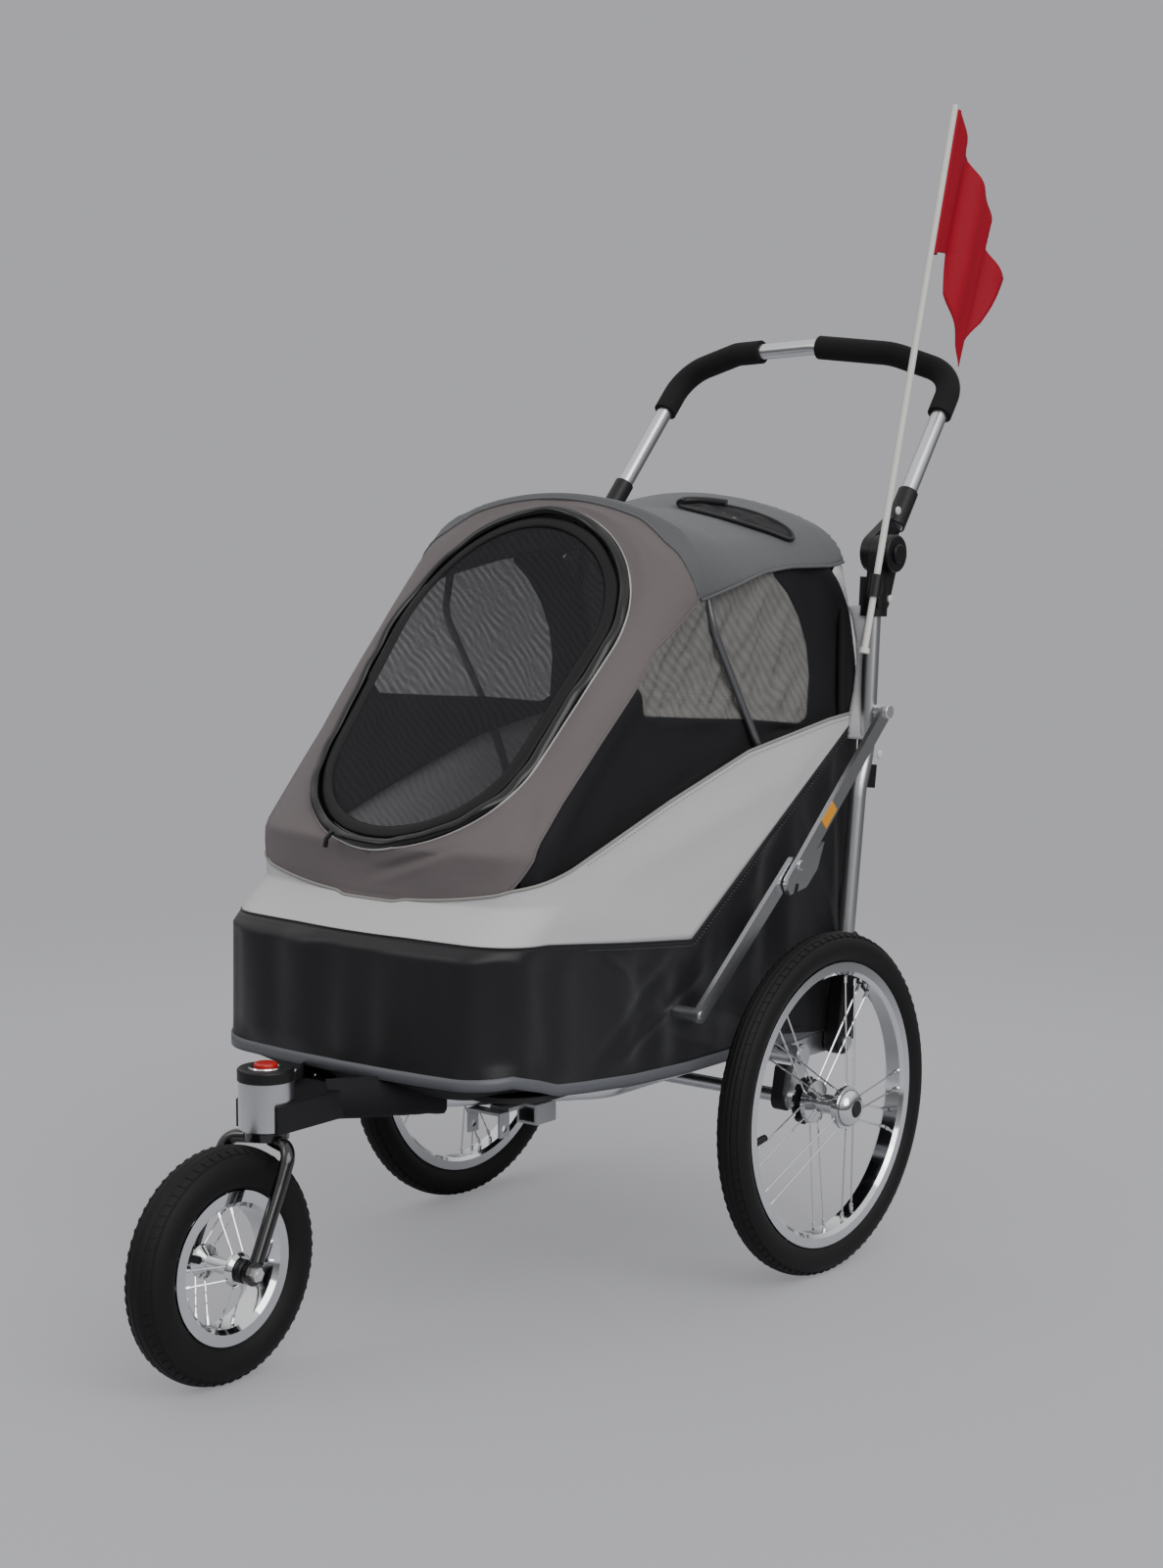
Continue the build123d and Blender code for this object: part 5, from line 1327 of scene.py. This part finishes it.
@dataclass
class ClothPanel:
    """A cloth panel made of a net over the cabin's form.

    The creases in fields push the cloth outwards and inward pulls it in, both fading out
    within hem of its seams. A closed panel's last column is sewn to its first.
    """

    name: str
    finish: Finish
    replaces: Sequence[str] = ()
    body: str = "chassis"
    thickness: float = 0.0014
    hem: float = 0.03
    fields: Sequence[Callable[[Vector], float]] = ()
    inward: float = 0.0
    closed: bool = True

    def drape(self, net: Net) -> Net:
        """Moves the inside of a net by the panel's creases, which fade towards its seams."""
        bm = net_mesh(net, self.closed)
        tree = BVHTree.FromBMesh(bm)
        bm.free()
        draped = []
        for column in net:
            moved = []
            for point in column:
                gap = (point - column[-1]).length
                if (column[0] - net[len(net) // 2][0]).length > 1e-4:
                    gap = min(gap, (point - column[0]).length)
                share = min(1.0, gap / self.hem)
                share = share * share * (3 - 2 * share)
                push = (sum(f(point) for f in self.fields) - self.inward) * share
                normal = tree.find_nearest(point)[1]
                moved.append(point + normal * push)
            draped.append(moved)
        return draped

    def build(self, net: Net) -> bpy.types.Object:
        """Builds the panel from a net and returns the finished piece."""
        bm = net_mesh(self.drape(net), self.closed)
        piece = mesh_object(self.name, bm, 65.0)
        wall = piece.modifiers.new("cloth", "SOLIDIFY")
        wall.thickness = self.thickness
        wall.offset = -1.0
        finish_piece(piece, self.finish, self.body, self.replaces)
        width, length, area = cut_size(net, self.closed)
        LOG.info("%s is cut from %.3f by %.3f m, %.4f m2", self.name, width, length, area)
        return soften(piece)


def cut_size(net: Net, closed: bool) -> tuple[float, float, float]:
    """Returns the width, length and area of the cloth that a net is cut from.

    A ring is cut as one strip as long as its middle row. A panel is cut from a rectangle that
    holds it laid flat along its two widest ways.
    """
    bm = net_mesh(net, closed)
    area = sum(f.calc_area() for f in bm.faces)
    bm.free()
    points = [p for column in net for p in (column[0], column[-1])]
    spans = []
    for way in ((1, 0, 0), (0, 1, 0), (0, 0, 1), (0, 0.68, 0.73), (0, 0.73, -0.68)):
        reach = [p.dot(Vector(way)) for p in points]
        spans.append(max(reach) - min(reach))
    middle = len(net[0]) // 2
    round_length = sum((a[middle] - b[middle]).length for a, b in zip(net, net[1:]))
    height = max(sum((a - b).length for a, b in zip(c, c[1:])) for c in net)
    width, length = sorted(spans)[-2:]
    if round_length > 1.6 or area < 0.33 * width * length:
        width, length = round_length, min(height, 2 * area / round_length)
    grow = max(1.0, math.sqrt(area / (width * length)))
    return width * grow, length * grow, area


def soften(piece: bpy.types.Object) -> bpy.types.Object:
    """Gives a soft piece a mesh of its own."""
    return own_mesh(piece)


def seam_pipe(name: str, points: Sequence[Vector], radius: float, finish: Finish,
              body: str = "chassis", closed: bool = True) -> None:
    """Sews a round piping along points."""
    soften(pipe(name, points, radius, finish, body, closed, 8))


SLOPE_FOOT = at(0, -0.482, 0.535)
SLOPE_RISE = (at(0, -0.151, 0.895) - SLOPE_FOOT).normalized()
SLOPE_OUT = Vector((0, -SLOPE_RISE.z, SLOPE_RISE.y))


@dataclass
class Window:
    """The front window: its zip band, its edge band and its net door."""

    low_radius: float = 0.141
    high_radius: float = 0.153
    pitch: float = 0.159
    foot: float = 0.008
    door_gap: float = 0.0016
    border: float = 0.016

    def offset(self, point: Vector) -> float:
        """Returns how far outside the window's outline a point lies, seen along its slope."""
        across = abs(point.x)
        up = (point - SLOPE_FOOT).dot(SLOPE_RISE) - self.foot - self.low_radius
        lean = (self.low_radius - self.high_radius) / self.pitch
        side = math.sqrt(1 - lean * lean)
        along = side * up - lean * across
        if along < 0:
            return math.hypot(across, up) - self.low_radius
        if along > side * self.pitch:
            return math.hypot(across, up - self.pitch) - self.high_radius
        return across * side + up * lean - self.low_radius

    def loop(self, spacing: float = 0.006) -> list[tuple[Vector, Vector]]:
        """Returns points of the outline, as across and up the slope, with outward directions."""
        lean = math.asin((self.high_radius - self.low_radius) / self.pitch)
        low = Vector((0, self.foot + self.low_radius))
        high = low + Vector((0, self.pitch))
        spots = []
        for centre, radius, start, end in (
            (high, self.high_radius, -lean, math.pi + lean),
            (low, self.low_radius, math.pi + lean, 2 * math.pi - lean),
        ):
            count = round(radius * (end - start) / spacing)
            for k in range(count + 1):
                turn = start + (end - start) * k / count
                way = Vector((math.cos(turn), math.sin(turn)))
                spots.append((centre + way * radius, way))
            here, way = spots[-1]
            target = low if centre is high else high
            there = target + way * (self.low_radius if target is low else self.high_radius)
            for k in range(1, round(self.pitch / spacing)):
                spots.append((here.lerp(there, k / round(self.pitch / spacing)), way))
        return spots

    def on_slope(self, flat: Vector, lift: float = 0.0) -> Vector:
        """Returns the point of the form over a place on the slope, lifted outwards."""
        deep = SLOPE_FOOT + Vector((1, 0, 0)) * flat.x + SLOPE_RISE * flat.y - SLOPE_OUT * 0.16
        return FORM.cast(deep, SLOPE_OUT, 0.4) + SLOPE_OUT * lift

    def band(self, first: float, last: float, rows: int, rise: float, pucker: float) -> Net:
        """Returns a rounded band along the outline.

        Args:
            first: Its outer edge, counted outwards from the outline.
            last: Its inner edge.
            rows: How many meshes it has across.
            rise: How high its back stands.
            pucker: Share by which the height varies along it.

        Returns:
            Columns of points from the outer to the inner edge.
        """
        net = []
        for k, (spot, way) in enumerate(self.loop()):
            swell = rise * (1 + pucker * noise.noise(Vector((k * 0.19, 1.7, 0.4))))
            column = []
            for r in range(rows + 1):
                share = r / rows
                height = swell * math.sqrt(max(0.0, 1 - (2 * share - 1) ** 2))
                column.append(self.on_slope(spot + way * (first + (last - first) * share),
                                            height))
            net.append(column)
        return net

    def build(self) -> None:
        """Builds the zip band, the door's edge and net, and the zip's pull."""
        ClothPanel("zip_band", ZIP_TAPE, ["window_frame"], thickness=0.0016).build(
            self.band(0.0125, -0.0006, 8, 0.0062, 0.7))
        edge = -self.door_gap
        ClothPanel("door_edge", DOOR_EDGE, ["door_border"], "door", thickness=0.0012).build(
            self.band(edge, edge - self.border, 5, 0.0022, 0.4))
        middle = Vector((0, self.foot + self.low_radius + self.pitch / 2))
        inner = edge - self.border + 0.002
        net = [[self.on_slope(middle.lerp(spot + way * inner, r / 24)) for r in range(25)]
               for spot, way in self.loop(0.012)]
        ClothPanel("door_net", DOOR_NET, ["door_mesh"], "door", thickness=0.0004, hem=0.05,
                   fields=(creases((0.07, 0.2, 0.1), 0.003, 4.0),), inward=0.003).build(net)
        pull = at(-0.045, -0.487, 0.546)
        tab = [pull, pull + Vector((-0.003, -0.006, -0.008)),
               pull + Vector((-0.004, -0.007, -0.017))]
        soften(pipe("zip_pull", tab, 0.0028, ZIP_TAPE, "chassis", sides=8))


@dataclass
class Cabin:
    """The cloth cabin with its window, side nets, roof and cushion."""

    window: Window = field(default_factory=Window)
    plate: float = 0.1924
    flare: float = 0.045
    net_middle: tuple[float, float] = (-0.09, 0.725)

    def tub(self) -> None:
        """Builds the black tub, gathered at its seams, with its foot tape."""
        net = ring_net(lambda y: line_at(HEM_FOOT, y), lambda y: line_at(TUB_TOP, y), 300, 34)
        corner = CABIN_HALF - 0.012
        folds = [
            creases((0.05, 0.05, 0.32), 0.0085, 3.0),
            creases((0.12, 0.12, 0.2), 0.005, 9.0),
            fold(at(corner, -0.47, 0.43), at(corner, -0.43, 0.30), 0.016, 0.005),
            fold(at(CABIN_HALF, -0.33, 0.42), at(CABIN_HALF, -0.27, 0.36), 0.012, 0.004),
            fold(at(CABIN_HALF, -0.17, 0.34), at(CABIN_HALF, 0.02, 0.27), 0.014, 0.005),
            fold(at(CABIN_HALF, -0.20, 0.31), at(CABIN_HALF, -0.10, 0.265), 0.010, -0.004),
            fold(at(CABIN_HALF, -0.34, 0.30), at(CABIN_HALF, -0.20, 0.40), 0.012, -0.003),
            fold(at(CABIN_HALF, -0.31, 0.29), at(CABIN_HALF, -0.15, 0.37), 0.009, 0.003),
            fold(at(corner, -0.455, 0.33), at(corner, -0.44, 0.29), 0.010, -0.004),
            fold(at(0.05, -0.50, 0.41), at(0.09, -0.50, 0.31), 0.018, -0.004),
            fold(at(0.16, -0.49, 0.40), at(0.13, -0.50, 0.31), 0.010, 0.004),
            fold(at(-0.12, -0.50, 0.42), at(-0.16, -0.50, 0.33), 0.014, 0.004),
            fold(at(CABIN_HALF, 0.05, 0.52), at(CABIN_HALF, 0.14, 0.33), 0.014, 0.005),
            fold(at(CABIN_HALF, 0.12, 0.56), at(CABIN_HALF, 0.15, 0.30), 0.010, -0.004),
        ]
        ClothPanel("tub_cloth", TUB_CLOTH, ["tub"], fields=folds).build(net)
        tape = ring_net(lambda y: line_at(HEM_FOOT, y) - 0.0025,
                        lambda y: line_at(HEM_FOOT, y) + 0.0105, 300, 2, 0.0012)
        ClothPanel("tub_foot_tape", HEM_TAPE, thickness=0.0024).build(tape)
        level, meshes = 0.2722, 14
        floor = []
        for column in net:
            edge = column[0]
            heart = at(0, min(0.10, max(-0.38, edge.y - AXLE_Y)), level)
            spots = [edge.lerp(heart, r / meshes) for r in range(meshes + 1)]
            for r, spot in enumerate(spots):
                spot.z = max(level, edge.z) + (level - max(level, edge.z)) * min(1.0, r / 4)
            floor.append(spots)
        ClothPanel("tub_bottom", PAINTED_SHEEN_WALL_CLOTH, thickness=0.0008).build(floor)

    def band(self) -> None:
        """Builds the pale band with its pipings."""
        net = ring_net(lambda y: line_at(TUB_TOP, y), lambda y: line_at(BAND_TOP, y), 300, 20)
        folds = (creases((0.2, 0.16, 0.1), 0.003, 5.0),
                 fold(at(CABIN_HALF, -0.30, 0.50), at(CABIN_HALF, 0.05, 0.58), 0.03, 0.003))
        ClothPanel("pale_band", PALE_CLOTH, ["white_band"], fields=folds).build(net)
        seam_pipe("band_top_piping", [column[-1] for column in net], 0.0018, PIPING)
        seam_pipe("band_low_piping", [column[0] for column in net], 0.0010, TUB_CLOTH)

    def front(self) -> None:
        """Builds the front panel round the window, with its pipings."""
        outline = inside([(-0.6, 0.474), *BAND_TOP[:4], *FRONT_SEAM, *CROWN_SEAM, (-0.6, 0.96)])
        centre = SLOPE_FOOT + SLOPE_RISE * 0.235 - SLOPE_OUT * 0.2
        net = fan_net(dome_reach(centre, SLOPE_OUT, math.radians(86)),
                      lambda p: outline(p) and self.window.offset(p) > 0.0112, 260, 22)
        lean = Matrix.Rotation(math.radians(-32), 3, "X")
        folds = (
            creases((0.06, 0.25, 0.05), 0.003, 1.0, lean),
            creases((0.15, 0.15, 0.15), 0.003, 6.0),
            fold(at(0.12, -0.47, 0.545), at(-0.03, -0.49, 0.490), 0.008, -0.006),
            fold(at(0.10, -0.48, 0.530), at(-0.01, -0.49, 0.485), 0.008, 0.005),
            fold(at(0.03, -0.49, 0.535), at(-0.05, -0.49, 0.500), 0.006, -0.003),
            fold(at(0.175, -0.41, 0.585), at(0.165, -0.44, 0.525), 0.012, -0.004),
        )
        ClothPanel("front_cloth", WARM_CLOTH, ["front_panel"], hem=0.02, fields=folds).build(net)
        seam_pipe("window_piping", [column[0] for column in net], 0.0017, PALE_PIPING)
        seam_pipe("front_seam_piping", [column[-1] for column in net], 0.0013, WARM_CLOTH)

    def roof(self) -> None:
        """Builds the roof with its piping and the rear wall under it."""
        outline = inside([*ROOF_EDGE, (0.26, 0.96), *CROWN_SEAM[::-1]])
        net = fan_net(dome_reach(at(0, 0.0, 0.70), Vector((0, 0, 1)), math.radians(84)),
                      outline, 300, 60)
        ClothPanel("roof_cloth", COOL_CLOTH, ["roof_panel"], fields=(
            creases((0.12, 0.12, 0.12), 0.003, 2.0),)).build(net)
        seam_pipe("roof_piping", [column[-1] for column in net], 0.0018, COOL_CLOTH)
        self.vent()
        wall = inside([*STRIP, *ROOF_EDGE[-3:], (0.26, 0.640)])
        rear = fan_net(dome_reach(at(0, 0.02, 0.725), Vector((0, 1, 0)), math.radians(80)),
                       wall, 180, 22)
        ClothPanel("rear_cloth", PALE_CLOTH, ["rear_panel"], fields=(
            creases((0.12, 0.1, 0.2), 0.003, 8.0),)).build(rear)

    def vent(self) -> None:
        """Sets the oval roof vent with its binding and its rolled cover."""
        middle = Vector((0.104, 0.050))
        long_way = Vector((0.98, 0.19))
        short_way = Vector((-0.19, 0.98))

        def spot(turn: float, share: float, lift: float) -> Vector:
            """Returns a point over the oval at a turn, a share of its size and a lift."""
            flat = (middle + long_way * (0.070 * share * math.cos(turn))
                    + short_way * (0.023 * share * math.sin(turn)))
            top = FORM.cast(at(flat.x, flat.y, 0.70), Vector((0, 0, 1)), 0.4)
            out = Vector((top.x * 1.2, 0, 0.2)).normalized()
            return top + out * lift

        columns, meshes = 72, 12
        turns = [2 * math.pi * k / columns for k in range(columns)]
        net = [[spot(turn, r / meshes, 0.0032) for r in range(meshes + 1)] for turn in turns]
        ClothPanel("roof_vent_net", VENT_NET, thickness=0.0006, hem=0.012, fields=(
            creases((0.018, 0.012, 0.05), 0.004, 5.0),)).build(net)
        seam_pipe("roof_vent_binding", [spot(turn, 1.03, 0.0030) for turn in turns], 0.0024,
                  TUB_CLOTH)
        roll = [spot(1.9 + 1.55 * k / 14, 1.02, 0.006) for k in range(15)]
        seam_pipe("roof_vent_roll", roll, 0.0052, TUB_CLOTH, closed=False)

    def wall_point(self, station: float, height: float) -> Vector:
        """Returns the point of the left side wall at a station and height.

        The wall hangs inside the hoops and comes out to the form at its front and rear seams.
        """
        spot = at(0, station, height)
        gap = min(self.seam_gap(station, height, FRONT_SEAM) / self.flare,
                  self.seam_gap(station, height, STRIP) / 0.02)
        if gap >= 1 and height <= WALL_TOP:
            return at(self.plate, station, height)
        form = FORM.cast(spot, Vector((1, 0, 0)), 0.3).x - 0.0006
        share = min(1.0, gap)
        share = share * share * (3 - 2 * share)
        inner = min(self.plate, form)
        if height > WALL_TOP:
            inner = min(inner, form - 0.0035)
        return Vector((form + (inner - form) * share, spot.y, height))

    @staticmethod
    def seam_gap(station: float, height: float, line: Line2) -> float:
        """Returns the distance in side view from a place to a line."""
        spot = Vector((station, height))
        gaps = []
        for a, b in zip(line, line[1:]):
            start, run = Vector(a), Vector(b) - Vector(a)
            share = min(1.0, max(0.0, (spot - start).dot(run) / run.length_squared))
            gaps.append((spot - start - run * share).length)
        return min(gaps)

    def sides(self) -> None:
        """Builds the side walls, each of a net and the black cloth round it."""
        bottom = [(y, z - 0.010) for y, z in BAND_TOP[3:-1]]
        top = [(y, z + 0.006) for y, z in ROOF_EDGE[:-1]]
        whole = inside([*bottom, *STRIP[1:], *top[::-1], *FRONT_SEAM[::-1]])
        in_net = inside(NET_EDGE)
        ripples = (
            creases((0.5, 0.016, 0.07), 0.006, 4.0, Matrix.Rotation(0.55, 3, "X")),
            creases((0.5, 0.012, 0.012), 0.0014, 1.0),
        )

        def reach(turn: float, share: float) -> Vector:
            """Returns the wall's point at a share of the round and of the way out."""
            angle = 2 * math.pi * turn
            return self.wall_point(self.net_middle[0] + 0.42 * share * math.cos(angle),
                                   self.net_middle[1] + 0.42 * share * math.sin(angle))

        left_net = fan_net(reach, lambda p: whole(p) and in_net(p), 220, 34, 50)
        left_wall = fan_net(reach, lambda p: whole(p) and not in_net(p), 280, 14, 100)
        for hand, label in SIDES:
            net, wall = ([[Vector((hand * p.x, p.y, p.z)) for p in c] for c in side]
                         for side in (left_net, left_wall))
            ClothPanel(f"side_net_{label}", SIDE_NET, ["side_panels"], thickness=0.0005,
                       hem=0.02, fields=ripples, inward=0.003).build(net)
            ClothPanel(f"side_wall_{label}", PAINTED_SHEEN_WALL_CLOTH, hem=0.02, inward=0.002,
                       fields=(creases((0.5, 0.05, 0.16), 0.004, 7.0),),
                       closed=False).build(wall)

    def rear_flaps(self) -> None:
        """Builds the pale flaps that close the gap from the side walls to the uprights."""
        reach = ((0.606, 0.151), (0.637, 0.165), (0.670, 0.172), (0.700, 0.172), (0.737, 0.166),
                 (0.765, 0.158))
        spread = ((0.606, 0.0), (0.668, 0.0), (0.737, -0.005), (0.765, -0.012))
        seam = tuple((height, station) for station, height in ((0.146, 0.606), *STRIP))
        foot, rise, tube_x, steps, meshes = 0.606, 0.159, 0.2255, 48, 8
        for hand, label in SIDES:
            net = []
            for k in range(steps + 1):
                height = foot + rise * k / steps
                inner = line_at(seam, height)
                outer = line_at(reach, height)
                far_x = tube_x + line_at(spread, height)
                column = []
                for r in range(meshes + 1):
                    share = r / meshes
                    x = CABIN_HALF - 0.001 + (far_x - CABIN_HALF + 0.001) * share ** 0.8
                    sag = 0.003 * math.sin(math.pi * share) * math.sin(k / 5.5)
                    column.append(at(hand * (x + sag), inner + (outer - inner) * share, height))
                net.append(column)
            ClothPanel(f"rear_flap_{label}", PALE_CLOTH, thickness=0.001, hem=0.01,
                       closed=False).build(net)

    def rail_flaps(self) -> None:
        """Builds the black flaps that wrap from the tub's foot round the front rails."""
        start, end = at(0.0148, -0.557, 0.269), at(0.186, -0.302, RAIL_HEIGHT)
        along = (end - start).normalized()
        out = Vector((along.y, -along.x, 0)).normalized()
        steps = 32
        section = ((0.016, 0.030), (0.018, 0.008), (0.0155, -0.010), (0.006, -0.0165),
                   (-0.008, -0.0165), (-0.016, -0.008), (-0.017, 0.010))
        for hand, label in SIDES:
            net = []
            for k in range(steps + 1):
                middle = start.lerp(end, -0.03 + 0.43 * k / steps)
                column = []
                for a, (side, rise) in enumerate(section):
                    ripple = 0.0018 * noise.noise(Vector((k * 0.35, a * 0.6, 2.0)))
                    point = middle + out * (side + ripple) + Vector((0, 0, rise + ripple))
                    column.append(Vector((hand * point.x, point.y, point.z)))
                net.append(column)
            ClothPanel(f"rail_flap_{label}", PAINTED_SHEEN_WALL_CLOTH, thickness=0.0012, closed=False).build(net)

    def stitches(self) -> None:
        """Runs the topstitching under the seams of the band along the sides and the back."""
        size = (0.0026, 0.0007, 0.0007)
        for name, line, drop, lift, finish in (
            ("band_stitches", BAND_TOP, 0.006, 0.0008, PIPING),
            ("tub_stitches", TUB_TOP, 0.006, 0.0030, HEM_TAPE),
        ):
            net = ring_net(lambda y: line_at(line, y) - drop,
                           lambda y: line_at(line, y) - drop / 2, 300, 2, lift)
            spots = [column[0] for column in net]
            front = min(range(len(spots)), key=lambda k: spots[k].y)
            spots = spots[front:] + spots[:front]
            spots = [spot for spot in spots if spot.y - AXLE_Y > -0.36]
            soften(trail(name, spots, 0.005, size, finish, "chassis"))

    def hoops(self) -> None:
        """Builds the hoops that carry the roof."""
        soften(smooth_copy("front_hoop", HOOP, "chassis"))
        # The rear hoop runs in a sleeve of the wall's cloth.
        soften(smooth_copy("rear_hoop", PAINTED_SHEEN_WALL_CLOTH, "chassis"))

    def cushion(self) -> None:
        """Builds the cushion as a softly stuffed pad."""
        low, high = (Vector(c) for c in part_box("cushion"))
        bm = bmesh.new()
        bmesh.ops.create_cube(bm, size=1.0)
        bmesh.ops.subdivide_edges(bm, edges=bm.edges, cuts=23, use_grid_fill=True)
        size = high - low
        middle = (low + high) / 2
        puffs = creases((0.09, 0.09, 0.5), 0.006, 2.0)
        for vert in bm.verts:
            x, y, z = vert.co * 2
            swell = (1 - abs(x) ** 4) * (1 - abs(y) ** 4)
            vert.co = Vector((x * size.x / 2, y * size.y / 2,
                              z * size.z / 2 * (0.45 + 0.5 * swell))) + middle
            vert.co.z += puffs(vert.co) * swell * 0.5 * (1 if z > 0 else 0)
        piece = mesh_object("cushion_pad", bm, 70.0)
        self.plump(piece)
        finish_piece(piece, CUSHION_CLOTH, "chassis", ["cushion"])
        soften(piece)

    @staticmethod
    def plump(piece: bpy.types.Object, furthest: float = 0.006) -> None:
        """Blows a pad's cover up like its filling does, by a cloth simulation.

        Args:
            piece: The pad.
            furthest: The longest way that a point of it may move.
        """
        cloth = piece.modifiers.new("filling", "CLOTH")
        cloth.settings.use_pressure = True
        cloth.settings.uniform_pressure_force = 3.0
        cloth.settings.effector_weights.gravity = 0.0
        scene = bpy.context.scene
        for step in range(1, 21):
            scene.frame_set(step)
        grown = piece.evaluated_get(bpy.context.evaluated_depsgraph_get())
        moves = [b.co - a.co for a, b in zip(piece.data.vertices, grown.data.vertices)]
        scene.frame_set(1)
        piece.modifiers.remove(cloth)
        for vert, move in zip(piece.data.vertices, moves):
            vert.co += move * min(1.0, furthest / max(move.length, 1e-9))

    def build(self) -> None:
        """Builds the whole cabin."""
        self.tub()
        self.band()
        self.front()
        self.roof()
        self.sides()
        self.rear_flaps()
        self.rail_flaps()
        self.stitches()
        self.hoops()
        self.window.build()
        self.cushion()


# ------------------------------------------------------------------ flag
@dataclass
class Flag:
    """The safety flag, a thin cloth sleeved on its rod, which hangs in soft waves."""

    inner: Line2 = ((0.281, 1.344), (0.255, 1.262), (0.234, 1.179), (0.266, 1.178),
                    (0.261, 1.131), (0.276, 1.086), (0.294, 1.045))
    outer: Line2 = ((0.287, 1.345), (0.325, 1.282), (0.352, 1.228), (0.374, 1.185),
                    (0.391, 1.152), (0.350, 1.098), (0.297, 1.046))
    wave: float = 0.009
    rows: int = 54

    @staticmethod
    def along(line: Line2, share: float) -> Vector:
        """Returns the place at a share of a line's corners."""
        spot = share * (len(line) - 1)
        k = min(int(spot), len(line) - 2)
        return Vector(line[k]).lerp(Vector(line[k + 1]), spot - k)

    def build(self) -> None:
        """Builds the cloth, which lies still at the rod, and its sleeve."""
        low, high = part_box("flag_cloth")
        middle = (low[0] + high[0]) / 2
        net = []
        for k in range(self.rows + 1):
            share = k / self.rows
            start, end = self.along(self.inner, share), self.along(self.outer, share)
            column = []
            for r in range(19):
                spot = start.lerp(end, r / 18)
                slack = min(1.0, (spot.x - 0.235 - 0.28 * max(0.0, spot.y - 1.179)) / 0.07)
                turn = 62 * spot.x - 26 * spot.y
                swing = math.sin(turn) + 0.45 * math.sin(2.3 * turn + 9 * spot.y)
                column.append(at(middle + self.wave * max(0.0, slack) * swing, *spot))
            net.append(column)
        bm = net_mesh(net, closed=False)
        area = sum(f.calc_area() for f in bm.faces)
        cloth = mesh_object("flag_sheet", bm, 60.0)
        wall = cloth.modifiers.new("cloth", "SOLIDIFY")
        wall.thickness = 0.0006
        wall.offset = 0.0
        finish_piece(cloth, FLAG_CLOTH, "flag", ["flag_cloth"])
        foot, top = at(middle, 0.2305, 1.177), at(middle, 0.279, 1.345)
        pipe("flag_sleeve", [foot, foot.lerp(top, 0.5), top], 0.0056, FLAG_CLOTH, "flag", sides=16)


def main() -> None:
    """Builds every piece of the stroller."""
    logging.basicConfig(level=logging.INFO, format="%(name)s %(message)s")
    Studio().build()
    Wheel("rear", "rear_wheel_left", "_left", 188.0).build()
    Wheel("rear", "rear_wheel_right", "_right", 188.0).build()
    Wheel("front", "front_wheel", "", 158.0, lugs=64).build()
    FrameTrim().build()
    Cabin().build()
    Flag().build()


if __name__ == "__main__":
    main()
